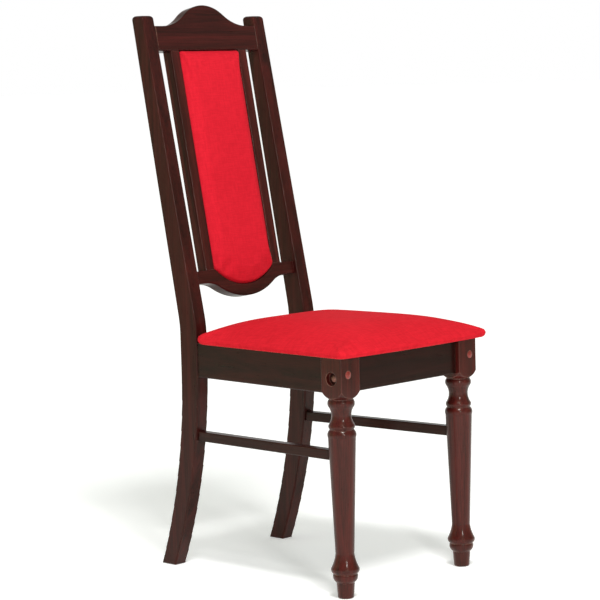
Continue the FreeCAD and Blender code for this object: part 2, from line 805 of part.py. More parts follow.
def rail_mortises(body, name, level):
    """The four-sided holes for the slats' tenons."""
    for hand, side in RIGHT_LEFT:
        middle = side * (slat_outer + slat_inner) / 2
        chop(body, f"{name}_mortise_{hand}",
             (middle - tenon_width / 2 - size.fit_clearance,
              size.slat_setback + size.slat_tenon_shoulder - size.fit_clearance, level),
             (tenon_width + 2 * size.fit_clearance, tenon_thickness + 2 * size.fit_clearance,
              size.slat_tenon + size.fit_clearance))


def rail_dowel_holes(body, name, spots):
    """The holes in both ends of a back rail."""
    for hand, side in RIGHT_LEFT:
        for number, (depth, along) in enumerate(spots):
            drill(body, f"{name}_dowel_{hand}_{number}", (side * rear_inner, depth, along), (-side, 0, 0),
                  hole_of_dowel, dowel_hole_depth)


def away_from_ends(edge):
    """True for the outline edges of a back rail, on its front and rear faces."""
    span = edge.BoundBox
    return span.YLength < 1e-6 and span.XLength > 1e-3


def crest_rail(name):
    """Top rail with an ogee upper edge, dowelled between the stiles."""
    body = new_body(name)
    tilt_with_back(body)
    shoulder = crest_bottom + size.crest_shoulder_height
    run = rear_inner - size.crest_shoulder_flat
    across, fall, hollow = ogee(run, size.crest_rise, size.crest_peak_radius)
    join = crest_peak - fall
    outline = back_sketch(body, f"{name}_outline", 0)
    draw_outline(outline, [
        (-1 * rear_inner, crest_bottom), (rear_inner, crest_bottom), (rear_inner, shoulder),
        (run, shoulder, -hollow), (across, join, size.crest_peak_radius), (-1 * across, join, -hollow),
        (-1 * run, shoulder), (-1 * rear_inner, shoulder),
    ])
    pad(body, outline, size.crest_thickness, reverse=True)
    round_edges(body, size.crest_arris, away_from_ends)
    rail_mortises(body, name, crest_bottom)
    rail_dowel_holes(body, name, crest_dowels)


def lower_back_rail(name):
    """Rail with a bellied lower edge and an arch that holds the foot of the padded panel."""
    body = new_body(name)
    tilt_with_back(body)
    run = rear_inner - size.lower_rail_shoulder_flat
    across, fall, hollow = ogee(run, size.lower_rail_drop, size.lower_rail_belly_radius)
    low = size.lower_rail_bottom
    join = low - size.lower_rail_drop + fall
    arch = bowed((arch_half, lower_rail_top), (-1 * arch_half, lower_rail_top), size.lower_rail_arch_depth)
    outline = back_sketch(body, f"{name}_outline", 0)
    draw_outline(outline, [
        (-1 * rear_inner, low), (-1 * run, low, -hollow),
        (-1 * across, join, size.lower_rail_belly_radius), (across, join, -hollow),
        (run, low), (rear_inner, low), (rear_inner, lower_rail_top), (arch_half, lower_rail_top, -arch),
        (-1 * arch_half, lower_rail_top), (-1 * rear_inner, lower_rail_top),
    ])
    pad(body, outline, size.lower_rail_thickness, reverse=True)
    round_edges(body, size.lower_rail_arris, away_from_ends)
    rail_mortises(body, name, lower_rail_top - size.slat_tenon - size.fit_clearance)
    rail_dowel_holes(body, name, rail_dowels)


def back_slat(name, side):
    """Upright slat with a tenon at each end and a groove for the panel's board."""
    body = new_body(name)
    tilt_with_back(body)
    middle = side * (slat_outer + slat_inner) / 2
    half = size.slat_width / 2
    outline = back_sketch(body, f"{name}_outline", size.slat_setback)
    draw_outline(outline, [(middle - half, lower_rail_top), (middle + half, lower_rail_top),
                           (middle + half, crest_bottom), (middle - half, crest_bottom)])
    pad(body, outline, size.slat_thickness, reverse=True)
    round_edges(body, size.slat_arris, lambda edge: runs_along(edge, 2))
    for end, level in (("foot", lower_rail_top - size.slat_tenon), ("head", crest_bottom)):
        tenon = back_sketch(body, f"{name}_{end}_tenon", size.slat_setback + size.slat_tenon_shoulder)
        draw_outline(tenon, [(middle - tenon_width / 2, level), (middle + tenon_width / 2, level),
                             (middle + tenon_width / 2, level + size.slat_tenon),
                             (middle - tenon_width / 2, level + size.slat_tenon)])
        pad(body, tenon, tenon_thickness, reverse=True)
    groove_depth = size.panel_tongue + size.panel_gap
    chop(body, f"{name}_groove",
         (side * (slat_inner + groove_depth / 2) - groove_depth / 2,
          size.panel_board_setback - size.fit_clearance, lower_rail_top),
         (groove_depth, size.panel_board_thickness + 2 * size.fit_clearance, crest_bottom - lower_rail_top))


crest_rail("crest_rail")
lower_back_rail("lower_back_rail")
for hand, side in RIGHT_LEFT:
    back_slat(f"back_slat_{hand}", side)

# The panel's outline stays a gap inside the slats, the crest rail and the lower rail's arch
panel_half = slat_inner - size.panel_gap
panel_top = crest_bottom - size.panel_gap
panel_foot = lower_rail_top + 2 * size.panel_gap
panel_arch = bowed((panel_half, panel_foot), (-1 * panel_half, panel_foot), size.lower_rail_arch_depth)
panel_arch_centre = panel_foot - size.lower_rail_arch_depth + panel_arch


def panel_section(body, name, depth, inset):
    """The padded panel's outline at one depth, drawn in by an inset."""
    half = panel_half - inset
    top = panel_top - inset
    arch = panel_arch - inset
    foot = panel_arch_centre - function("sqrt", arch * arch - half * half)
    corner = size.panel_corner
    sketch = back_sketch(body, name, depth)
    draw_outline(sketch, [
        (-1 * half, foot, arch), (half, foot), (half, top - corner, corner), (half - corner, top),
        (corner - half, top, corner), (-1 * half, top - corner),
    ])
    return sketch


CROWN_ANGLES = (0, 18, 36, 54, 72, 90)
CROWN_FULLNESS = 1.2


def loft(body, name, sections, kind="PartDesign::AdditiveLoft", ruled=False):
    """Joins a row of sections into one solid, or takes it away."""
    feature = body.newObject(kind, name)
    feature.Profile = sections[0]
    feature.Sections = sections[1:]
    feature.Ruled = ruled
    doc.recompute()
    return feature


def panel_crown_sections(body, name, gap):
    """Sections of the panel's swell, from the board forward, a gap inside its outer skin."""
    sections = []
    for angle in CROWN_ANGLES:
        side_share = math.cos(math.radians(angle))
        swell_share = math.sin(math.radians(angle))
        inset = size.panel_crown_reach * (1 - side_share) + gap * side_share
        depth = size.panel_board_setback - (size.panel_crown - gap) * swell_share
        sections.append(panel_section(body, f"{name}_{angle}", depth, inset))
    return sections


def back_panel():
    """Board, padding, front cover and rear cloth of the padded back."""
    board = new_body("back_panel_board")
    tilt_with_back(board)
    tongue_half = slat_inner + size.panel_tongue
    outline = back_sketch(board, "back_panel_board_outline", size.panel_board_setback)
    draw_outline(outline, [
        (-1 * tongue_half, panel_foot), (-1 * panel_half, panel_foot, panel_arch), (panel_half, panel_foot),
        (tongue_half, panel_foot), (tongue_half, panel_top), (-1 * tongue_half, panel_top),
    ])
    pad(board, outline, size.panel_board_thickness, reverse=True)

    padding = new_body("back_panel_padding")
    tilt_with_back(padding)
    skin = size.cover_thickness + size.soft_clearance
    loft(padding, "back_panel_padding_swell", panel_crown_sections(padding, "back_padding_section", skin))

    cover = new_body("back_panel_cover")
    tilt_with_back(cover)
    loft(cover, "back_panel_cover_swell", panel_crown_sections(cover, "back_cover_section", 0))
    loft(cover, "back_panel_cover_hollow",
         panel_crown_sections(cover, "back_cover_inside", size.cover_thickness),
         "PartDesign::SubtractiveLoft")

    cloth = new_body("back_panel_rear_cover")
    tilt_with_back(cloth)
    rear = size.panel_board_setback + size.panel_board_thickness
    pad(cloth, panel_section(cloth, "back_panel_rear_cover_outline", rear, size.panel_gap),
        size.rear_cloth_thickness, reverse=True)


back_panel()

# Seat: a board, its crowned padding and the cover drawn over both
seat_middle = (seat_front_line + seat_rear_line) / 2
board_top = apron_top + size.seat_board_thickness
RIGHT_ANGLE = Size(90.0, "90 deg")


def seat_section(body, name, level, drawn_in, inset):
    """The seat's plan at one level: rounded corners, bowed front, drawn in towards the crown's flat."""
    front_across = between(seat_half(seat_front_line), size.seat_crown_flat_width / 2, drawn_in) - inset
    rear_across = between(seat_half(seat_rear_line), size.seat_crown_flat_width / 2, drawn_in) - inset
    front = between(seat_front_line, seat_middle - size.seat_crown_flat_depth / 2, drawn_in) + inset
    rear = between(seat_rear_line, seat_middle + size.seat_crown_flat_depth / 2, drawn_in) - inset
    corner = between(size.seat_front_corner, size.seat_crown_flat_corner, drawn_in)
    rear_corner = between(size.seat_rear_corner, size.seat_crown_flat_corner, drawn_in)
    bow = 2 * function("atan", size.seat_front_bow / front_across)
    taper = function("atan", (front_across - rear_across) / (rear - front))
    bow_across = front_across - corner * function("cos", bow)
    bow_front = front - corner * function("sin", bow)
    side_front = (front_across - corner * function("sin", taper), front + corner * function("cos", taper))
    side_rear = (rear_across + rear_corner * function("sin", taper),
                 rear - rear_corner * function("cos", taper))
    front_radius = corner * function("tan", (RIGHT_ANGLE - taper + bow) / 2)
    rear_radius = rear_corner * function("tan", (RIGHT_ANGLE + taper) / 2)
    sketch = new_sketch(body, "XY_Plane", name, (0, 0, level))
    draw_outline(sketch, [
        (-1 * bow_across, bow_front, bow_across / function("sin", bow)),
        (bow_across, bow_front, front_radius), side_front,
        (side_rear[0], side_rear[1], rear_radius), (rear_across - rear_corner, rear),
        (rear_corner - rear_across, rear, rear_radius), (-1 * side_rear[0], side_rear[1]),
        (-1 * side_front[0], side_front[1], front_radius),
    ])
    return sketch


def seat_crown_sections(body, name, gap):
    """Sections of the seat's crown, from the board up, a gap inside its outer skin."""
    sections = []
    for angle in CROWN_ANGLES:
        side_share = math.cos(math.radians(angle))
        rise_share = math.sin(math.radians(angle)) ** CROWN_FULLNESS
        level = board_top + (size.seat_crown - gap) * rise_share
        sections.append(seat_section(body, f"{name}_{angle}", level, 1 - side_share, gap * side_share))
    return sections


def seat_edge_sections(body, name, gap):
    """Sections of the seat's edge, drawn in a little under the board."""
    return [seat_section(body, f"{name}_low", apron_top, 0, size.seat_edge_tuck + gap),
            seat_section(body, f"{name}_high", board_top, 0, gap)]


def seat():
    """Board, padding, cover and dust cloth of the seat."""
    skin = size.cover_thickness + size.soft_clearance
    board = new_body("seat_board")
    outline = seat_section(board, "seat_board_outline", apron_top, 0, size.seat_edge_tuck + skin)
    pad(board, outline, size.seat_board_thickness)
    for front in (True, False):
        for hand, side in RIGHT_LEFT:
            across, depth = seat_screw_spot(corner_block_plan(front), side)
            drill(board, f"seat_board_screw_{hand}_{int(front)}", (across, depth, apron_top), (0, 0, 1),
                  size.seat_screw_radius + size.fit_clearance, size.seat_screw_bite + size.end_clearance)

    padding = new_body("seat_padding")
    loft(padding, "seat_padding_crown", seat_crown_sections(padding, "seat_padding_section", skin))

    cover = new_body("seat_cover")
    loft(cover, "seat_cover_edge", seat_edge_sections(cover, "seat_cover_edge_section", 0), ruled=True)
    loft(cover, "seat_cover_crown", seat_crown_sections(cover, "seat_cover_section", 0))
    loft(cover, "seat_cover_edge_hollow",
         seat_edge_sections(cover, "seat_cover_edge_inside", size.cover_thickness),
         "PartDesign::SubtractiveLoft", ruled=True)
    loft(cover, "seat_cover_crown_hollow",
         seat_crown_sections(cover, "seat_cover_inside", size.cover_thickness), "PartDesign::SubtractiveLoft")

    margin = size.dust_cloth_margin
    front_plan = corner_block_plan(front=True)
    rear_plan = corner_block_plan(front=False)
    front_heel = front_plan.heel_depth + margin
    rear_heel = rear_plan.heel_depth - margin
    half = [(front_plan.toe - margin, front_apron_inside + margin),
            (side_apron_inside(front_heel) - margin, front_heel),
            (side_apron_inside(rear_heel) - margin, rear_heel),
            (rear_plan.toe - margin, seat_rear_line - size.seat_edge_tuck - margin)]
    plank("seat_dust_cloth", half + [(-1 * across, depth) for across, depth in reversed(half)],
          apron_top - size.dust_cloth_thickness, size.dust_cloth_thickness)


seat()


def corner_block(name, side, front):
    """Glued block in a corner of the seat frame, drilled for its lag screw and a seat screw."""
    plan = corner_block_plan(front)
    low = apron_top - size.corner_block_height
    body = plank(name, [(side * plan.leg_side, plan.apron_face), (side * plan.toe, plan.apron_face),
                        (side * plan.heel_across, plan.heel_depth),
                        (side * side_apron_inside(plan.leg_face), plan.leg_face),
                        (side * plan.leg_side, plan.leg_face)],
                 low, size.corner_block_height)
    across, depth = lag_mouth(plan, side)
    drill(body, f"{name}_lag_hole", (across, depth, lag_level), (side, -plan.sense, 0),
          size.lag_radius + size.fit_clearance, corner_reach(plan) * math.sqrt(2) + 2 * size.lag_radius)
    across, depth = seat_screw_spot(plan, side)
    drill(body, f"{name}_seat_screw_hole", (across, depth, low), (0, 0, 1),
          size.seat_screw_radius + size.fit_clearance, size.corner_block_height)


CORNERS = [(f"{end}_{hand}", side, end == "front") for end in ("front", "rear") for hand, side in RIGHT_LEFT]
for corner, side, front in CORNERS:
    corner_block(f"corner_block_{corner}", side, front)


def screw(name, spot, outward, radius, length, head_radius, head_height):
    """A screw with a domed head; the spot is under the head and the outward direction leaves the wood."""
    body = new_body(name, node=False)
    place(body, in_room(spot), FreeCAD.Rotation(FreeCAD.Vector(0, 0, 1), FreeCAD.Vector(*outward)))
    rim = head_height / 3
    dome = (head_radius * head_radius + (head_height - rim) * (head_height - rim)) / (2 * (head_height - rim))
    profile = new_sketch(body, "XZ_Plane", f"{name}_profile")
    draw_outline(profile, [(0, -length), (radius, radius - length), (radius, 0), (head_radius, 0),
                           (head_radius, rim, dome), (0, head_height)])
    turn(body, profile)
    return body


def plug(name, spot, outward):
    """A plug with a domed face that hides a screw."""
    body = new_body(name, node=False)
    place(body, in_room(spot), FreeCAD.Rotation(FreeCAD.Vector(0, 0, 1), FreeCAD.Vector(*outward)))
    dome = (size.plug_radius * size.plug_radius + size.plug_dome * size.plug_dome) / (2 * size.plug_dome)
    profile = new_sketch(body, "XZ_Plane", f"{name}_profile")
    draw_outline(profile, [(0, -size.plug_depth), (size.plug_radius, -size.plug_depth),
                           (size.plug_radius, 0, dome), (0, size.plug_dome)])
    turn(body, profile)
    return body


def rod(name, spot, direction, radius, length):
    """A plain round rod from its first end along a direction."""
    cylinder = doc.addObject("Part::Cylinder", name)
    aim = FreeCAD.Rotation(FreeCAD.Vector(0, 0, 1), FreeCAD.Vector(*direction))
    place(cylinder, in_room(spot), aim)
    bind(cylinder, "Radius", radius)
    bind(cylinder, "Height", length)
    return cylinder


def barrel_nut(name, side):
    """Cross dowel of steel that the leg bolt screws into."""
    across = side * (front_inner - size.nut_setback)
    barrel = rod(f"{name}_barrel", (across, bolt_depth - size.nut_length / 2, bolt_level), (0, 1, 0),
                 size.nut_radius, size.nut_length)
    bore = rod(f"{name}_bore", (across - 2 * size.nut_radius, bolt_depth, bolt_level), (1, 0, 0),
               size.bolt_radius + size.fit_clearance, 4 * size.nut_radius)
    nut = doc.addObject("Part::Cut", name)
    nut.Base = barrel
    nut.Tool = bore
    return nut


def fasteners():
    """The screws, bolts, nuts, plugs and dowels that hold the chair together."""
    recess = front_half - size.bolt_recess_depth
    plug_floor = size.plug_depth + size.leg_screw_head_height + size.fit_clearance
    group("leg_bolts", [
        screw(f"leg_bolt_{hand}", (side * recess, bolt_depth, bolt_level), (side, 0, 0), size.bolt_radius,
              recess - front_inner + size.bolt_reach, size.bolt_head_radius, size.bolt_head_height)
        for hand, side in RIGHT_LEFT])
    group("barrel_nuts", [barrel_nut(f"barrel_nut_{hand}", side) for hand, side in RIGHT_LEFT])
    group("leg_screws", [
        screw(f"leg_screw_{hand}", (side * leg_screw_across, plug_floor, leg_screw_level), (0, -1, 0),
              size.leg_screw_radius, size.block_size - plug_floor + size.leg_screw_reach,
              size.leg_screw_head_radius, size.leg_screw_head_height)
        for hand, side in RIGHT_LEFT])
    group("leg_plugs", [plug(f"leg_plug_{hand}", (side * leg_screw_across, 0, leg_screw_level), (0, -1, 0))
                        for hand, side in RIGHT_LEFT])

    lags = []
    seat_screws = []
    block_bottom = apron_top - size.corner_block_height
    for corner, side, front in CORNERS:
        plan = corner_block_plan(front)
        across, depth = lag_mouth(plan, side)
        lags.append(screw(f"lag_screw_{corner}", (across, depth, lag_level), (-side, plan.sense, 0),
                          size.lag_radius, corner_reach(plan) * math.sqrt(2) + size.lag_bite,
                          size.lag_head_radius, size.lag_head_height))
        across, depth = seat_screw_spot(plan, side)
        seat_screws.append(screw(f"seat_screw_{corner}", (across, depth, block_bottom),
                                 (0, 0, -1), size.seat_screw_radius,
                                 size.corner_block_height + size.seat_screw_bite,
                                 size.seat_screw_head_radius, size.seat_screw_head_height))
    group("corner_block_lag_screws", lags)
    group("seat_screws", seat_screws)

    length = 2 * size.dowel_bite
    apron_dowels = []
    rail_rods = []
    for hand, side in RIGHT_LEFT:
        start = side * rear_inner - size.dowel_bite
        for number, level in enumerate(side_dowel_levels):
            spot = (side * side_dowel_across, size.leg_spacing - size.dowel_bite, level)
            dowel = rod(f"side_dowel_{hand}_{number}", spot, (0, 1, 0), size.dowel_radius, length)
            apron_dowels.append(dowel)
        for number, level in enumerate(rear_dowel_levels):
            spot = (start, rear_dowel_depth, level)
            dowel = rod(f"rear_dowel_{hand}_{number}", spot, (1, 0, 0), size.dowel_radius, length)
            apron_dowels.append(dowel)
        for number, (depth, along) in enumerate(crest_dowels + rail_dowels):
            spot = on_back(start, depth, along)
            dowel = rod(f"back_dowel_{hand}_{number}", spot, (1, 0, 0), size.dowel_radius, length)
            rail_rods.append(dowel)
    group("apron_dowels", apron_dowels)
    group("back_rail_dowels", rail_rods)


fasteners()
doc.recompute()

# Every piece is checked before any file is written
CUTS = ("PartDesign::Groove", "PartDesign::SubtractiveCylinder", "PartDesign::SubtractiveBox",
        "PartDesign::SubtractiveLoft")
for item in doc.Objects:
    if "Invalid" in item.State or "Error" in item.State:
        raise RuntimeError(f"{item.Name} did not compute")
    if item.TypeId in CUTS and item.Shape.Volume > item.BaseFeature.Shape.Volume - 1e-3:
        raise RuntimeError(f"{item.Name} cuts nothing")
for name, item in NODES.items():
    if item.Shape.isNull() or not item.Shape.isValid() or not item.Shape.Solids:
        raise RuntimeError(f"{name} is not a valid solid")

os.makedirs("parts", exist_ok=True)
for name, item in NODES.items():
    item.Shape.exportStep(f"parts/{name}.step")
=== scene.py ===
import math

import bpy
import numpy as np
from mathutils import Matrix, Vector


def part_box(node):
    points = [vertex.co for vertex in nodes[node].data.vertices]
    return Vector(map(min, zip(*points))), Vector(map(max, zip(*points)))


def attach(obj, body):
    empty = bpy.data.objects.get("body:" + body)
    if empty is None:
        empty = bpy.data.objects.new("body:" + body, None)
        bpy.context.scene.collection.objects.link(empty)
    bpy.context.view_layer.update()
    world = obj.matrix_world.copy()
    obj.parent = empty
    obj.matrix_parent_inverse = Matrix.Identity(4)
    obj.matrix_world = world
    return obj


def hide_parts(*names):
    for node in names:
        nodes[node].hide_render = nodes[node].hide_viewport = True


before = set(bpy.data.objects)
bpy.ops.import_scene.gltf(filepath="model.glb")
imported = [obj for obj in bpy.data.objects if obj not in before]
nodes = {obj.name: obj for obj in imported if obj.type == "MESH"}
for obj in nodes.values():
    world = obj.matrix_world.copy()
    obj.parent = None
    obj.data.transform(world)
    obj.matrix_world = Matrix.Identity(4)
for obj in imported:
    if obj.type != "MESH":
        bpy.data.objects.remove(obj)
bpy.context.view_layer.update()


# Front legs
# Each is one length of beech, square where the seat frame meets it and turned on a lathe below.
# It is stained dark red-brown and sprayed with lacquer, which wears thin along the edges first; the edges
# are also painted lighter, partly wear and partly a painted highlight along each arris.

class Shade:
    """An output socket of a finish; a sum of shades adds its Math nodes."""

    # The Mix node's sockets for colours have the names of its sockets for numbers, so they go by count.
    SHARE, FIRST_COLOUR, SECOND_COLOUR, MIXED_COLOUR = 0, 6, 7, 2

    def __init__(self, tree, socket=None):
        self.tree = tree
        self.socket = socket

    def node(self, kind, settings=None, sockets=None, output=0):
        """Adds a node: its type, its settings, then the values or links of its sockets."""
        made = self.tree.nodes.new(kind)
        for name, value in (settings or {}).items():
            setattr(made, name, value)
        for key, value in (sockets or {}).items():
            if isinstance(value, Shade):
                self.tree.links.new(value.socket, made.inputs[key])
            else:
                made.inputs[key].default_value = value
        return Shade(self.tree, made.outputs[output] if made.outputs else None)

    def sum(self, operation, first, second):
        """A Math node on two values."""
        return self.node("ShaderNodeMath", {"operation": operation}, {0: first, 1: second})

    def __add__(self, other):
        return self.sum("ADD", self, other)

    def __radd__(self, other):
        return self.sum("ADD", other, self)

    def __sub__(self, other):
        return self.sum("SUBTRACT", self, other)

    def __rsub__(self, other):
        return self.sum("SUBTRACT", other, self)

    def __mul__(self, other):
        return self.sum("MULTIPLY", self, other)

    def __rmul__(self, other):
        return self.sum("MULTIPLY", other, self)

    def __pow__(self, other):
        return self.sum("POWER", self, other)

    def __rpow__(self, other):
        return self.sum("POWER", other, self)

    def between(self, low, high):
        """This value as a share of the way from low to high, held to 0 and 1."""
        return self.node("ShaderNodeMapRange", {"interpolation_type": "SMOOTHSTEP"},
                         {"Value": self, "From Min": low, "From Max": high})

    def blend(self, first, second):
        """Mixes two colours by this value, the share of the second."""
        return self.node("ShaderNodeMix", {"data_type": "RGBA"},
                         {self.SHARE: self, self.FIRST_COLOUR: first, self.SECOND_COLOUR: second},
                         output=self.MIXED_COLOUR)


def new_finish(name):
    """An empty material and the shade that its nodes are added through."""
    material = bpy.data.materials.new(name)
    material.use_nodes = True
    material.node_tree.nodes.clear()
    return material, Shade(material.node_tree)


def lay_finish(shade, sockets):
    """Ends a finish with its surface."""
    surface = shade.node("ShaderNodeBsdfPrincipled", {}, sockets)
    shade.node("ShaderNodeOutputMaterial", {}, {"Surface": surface})


def place_in(shade, turned, unit):
    """Places on the piece counted in units, along axes that are turned with its grain or thread."""
    return shade.node("ShaderNodeMapping", {"vector_type": "TEXTURE"},
                      {"Vector": shade.node("ShaderNodeTexCoord", output="Object"),
                       "Rotation": turned, "Scale": unit})


def cloud(shade, turned, unit, detail, roughness, distortion=0.0):
    """Soft noise from 0 to 1, drawn out by its unit along axes that are turned with the piece."""
    return shade.node("ShaderNodeTexNoise", {},
                      {"Vector": place_in(shade, turned, unit), "Scale": 1.0, "Detail": detail,
                       "Roughness": roughness, "Distortion": distortion})


ARRIS_RADIUS = 0.0030
ARRIS_SAMPLES = 8
ARRIS_START = 0.01
ARRIS_FULL = 0.12


def eased_arris(shade):
    """The facing of a piece with its arrises rounded over, and how near an arris is, from 0 to 1."""
    eased = shade.node("ShaderNodeBevel", {"samples": ARRIS_SAMPLES}, {"Radius": ARRIS_RADIUS})
    face = shade.node("ShaderNodeNewGeometry", output="Normal")
    alike = shade.node("ShaderNodeVectorMath", {"operation": "DOT_PRODUCT"}, {0: eased, 1: face},
                       output="Value")
    return eased, (1.0 - alike).between(ARRIS_START, ARRIS_FULL)


DEEP_STAIN = (0.009, 0.0024, 0.0020, 1.0)
WARM_STAIN = (0.062, 0.0085, 0.0075, 1.0)
# Pale stain for the arrises: worn lacquer and a painted highlight along the edges.
THIN_STAIN_AND_PAINTED_HIGHLIGHT = (0.34, 0.175, 0.135, 1.0)
LACQUER_TINT = (0.92, 1.0, 0.76, 1.0)
TOP_COAT_TINT = (1.0, 0.93, 0.80, 1.0)
GRAIN_UPRIGHT = (0.0, 0.0, 0.0)
BOARD_FIGURE = {"unit": (0.020, 0.020, 0.42), "detail": 3.0, "roughness": 0.55, "distortion": 0.8}
FIBRE_STREAK = {"unit": (0.0016, 0.0016, 0.075), "detail": 5.0, "roughness": 0.62, "distortion": 0.3}
OPEN_PORE = {"unit": (0.00055, 0.00055, 0.0065), "detail": 2.0, "roughness": 0.5}
RUBBED_PATCH = {"unit": (0.012, 0.012, 0.03), "detail": 4.0, "roughness": 0.6}
FIGURE_SHARE = 0.55
FIBRE_SHARE = 0.45
PORE_STAIN = 0.6
ARRIS_WEAR_AND_PAINTED_HIGHLIGHT = 0.60
ARRIS_GLOSS = 0.30
PORE_GLOSS_LOSS = 0.05
LACQUER_ROUGHNESS = 0.24
SATIN_GLOSS = 0.10


def stained_wood(name, turned, warm=WARM_STAIN, gloss=SATIN_GLOSS):
    """Beech under dark stain and lacquer, with the grain along the turned Z axis and arrises painted
    lighter for wear and a painted highlight.
    """
    material, shade = new_finish(name)
    board = cloud(shade, turned, **BOARD_FIGURE)
    fibre = cloud(shade, turned, **FIBRE_STREAK)
    pores = cloud(shade, turned, **OPEN_PORE).between(0.60, 0.72)
    rubbed = cloud(shade, turned, **RUBBED_PATCH).between(0.30, 0.75)
    tone = board.between(0.28, 0.74) * FIGURE_SHARE + fibre.between(0.25, 0.75) * FIBRE_SHARE
    stain = tone.blend(DEEP_STAIN, warm)
    stain = (pores * PORE_STAIN).blend(stain, DEEP_STAIN)
    eased, arris = eased_arris(shade)
    # Arrises lighten towards the pale stain: partly rubbed wear, partly a painted highlight.
    stain = (arris * rubbed * ARRIS_WEAR_AND_PAINTED_HIGHLIGHT).blend(stain, THIN_STAIN_AND_PAINTED_HIGHLIGHT)
    dull = LACQUER_ROUGHNESS + fibre * 0.08 + pores * 0.12 + rubbed * 0.05
    skin = shade.node("ShaderNodeBump", {},
                      {"Strength": 0.35, "Distance": 0.0002, "Height": fibre * 0.35 - pores * 0.5,
                       "Normal": eased})
    lay_finish(shade, {"Base Color": stain, "Roughness": dull, "Normal": skin,
                       "Specular IOR Level": 0.12, "Specular Tint": LACQUER_TINT,
                       "Coat Weight": gloss + arris * ARRIS_GLOSS - pores * PORE_GLOSS_LOSS,
                       "Coat Roughness": 0.11, "Coat Tint": TOP_COAT_TINT})
    return material


def finish_nodes(material, names):
    """Gives CAD pieces their finish."""
    for name in names:
        mesh = nodes[name].data
        mesh.materials.clear()
        mesh.materials.append(material)


HANDS = ("right", "left")
TURNED_STAIN = (0.088, 0.0105, 0.0085, 1.0)
TURNED_GLOSS = 0.28
finish_nodes(stained_wood("turned_leg_wood", GRAIN_UPRIGHT, TURNED_STAIN, TURNED_GLOSS),
             [f"front_leg_{hand}" for hand in HANDS])


# Rear legs
# Sabre leg and raked stile are sawn in one piece from a plank, with the grain running up it.
# The edges are rounded over by a router before the staining.

finish_nodes(stained_wood("stile_wood", GRAIN_UPRIGHT), [f"rear_leg_{hand}" for hand in HANDS])


# Seat frame and side stretchers
# Boards on edge between the legs, and square rods let into the legs lower down.
# The grain runs along each of them: across the chair at front and rear, and back to front at the sides.

QUARTER_TURN = math.radians(90.0)
GRAIN_ACROSS = (0.0, QUARTER_TURN, 0.0)
GRAIN_BACKWARD = (QUARTER_TURN, 0.0, 0.0)
# The front and rear aprons are stained darker: painted shade from the seat above them.
APRON_STAIN_WITH_PAINTED_SHADE = (0.026, 0.0044, 0.0036, 1.0)
SIDE_STAIN = (0.036, 0.0056, 0.0044, 1.0)
finish_nodes(stained_wood("cross_apron_wood_with_painted_shade", GRAIN_ACROSS, APRON_STAIN_WITH_PAINTED_SHADE), ["front_apron", "rear_apron"])
finish_nodes(stained_wood("side_wood", GRAIN_BACKWARD, SIDE_STAIN),
             [f"side_{part}_{hand}" for part in ("apron", "stretcher") for hand in HANDS])


# Back rails and slats
# The crest rail and the bellied lower rail are bandsawn from boards and dowelled between the stiles.
# The two slats stand between them on tenons and carry the padded panel in a groove.

RAKE = math.radians(10.58)
GRAIN_RAKED = (-RAKE, 0.0, 0.0)
finish_nodes(stained_wood("back_rail_wood", GRAIN_ACROSS), ["crest_rail", "lower_back_rail"])
SLAT_STAIN = (0.088, 0.0120, 0.0105, 1.0)
finish_nodes(stained_wood("slat_wood", GRAIN_RAKED, SLAT_STAIN), [f"back_slat_{hand}" for hand in HANDS])


# Corner blocks and dowels
# Offcuts of unstained beech: the blocks are glued and screwed into the corners of the seat frame,
# and the dowels are fluted birch rod glued into both pieces that they join.

PALE_BEECH = (0.60, 0.40, 0.24, 1.0)
BROWN_BEECH = (0.40, 0.235, 0.125, 1.0)
SAWN_FIGURE = {"unit": (0.010, 0.010, 0.15), "detail": 4.0, "roughness": 0.6, "distortion": 0.6}
SHORT_FLECK = {"unit": (0.0007, 0.0007, 0.004), "detail": 2.0, "roughness": 0.5}
SAW_MARK = {"unit": (0.02, 0.02, 0.0012), "detail": 2.0, "roughness": 0.4}


def bare_wood(name, turned):
    """Sawn beech with no finish: short dark flecks and a dry surface."""
    material, shade = new_finish(name)
    board = cloud(shade, turned, **SAWN_FIGURE)
    flecks = cloud(shade, turned, **SHORT_FLECK).between(0.58, 0.70)
    saw = cloud(shade, turned, **SAW_MARK)
    colour = (board * 0.75 + flecks * 0.35).blend(PALE_BEECH, BROWN_BEECH)
    skin = shade.node("ShaderNodeBump", {},
                      {"Strength": 0.5, "Distance": 0.0003, "Height": saw - flecks * 0.4})
    lay_finish(shade, {"Base Color": colour, "Roughness": 0.62 + board * 0.25, "Normal": skin,
                       "Specular IOR Level": 0.3})
    return material


finish_nodes(bare_wood("corner_block_wood", GRAIN_ACROSS),
             [f"corner_block_{end}_{hand}" for end in ("front", "rear") for hand in HANDS])
finish_nodes(bare_wood("dowel_wood", GRAIN_ACROSS), ["apron_dowels", "back_rail_dowels"])


# Bolts, nuts and screws
# Steel: a browned bolt through each front leg into a barrel nut in the apron, zinc-plated lag screws
# through the corner blocks, seat screws up into the board, and a wood screw under each leg plug.

BRIGHT_ZINC = (0.56, 0.55, 0.52, 1.0)
DULL_ZINC = (0.30, 0.295, 0.28, 1.0)
PALE_BRONZE = (0.23, 0.105, 0.080, 1.0)
DARK_BRONZE = (0.095, 0.042, 0.034, 1.0)
PLATING_PATCH = {"unit": (0.004, 0.004, 0.004), "detail": 4.0, "roughness": 0.6}
TURNING_MARK = {"unit": (0.0003, 0.0003, 0.004), "detail": 2.0, "roughness": 0.5}


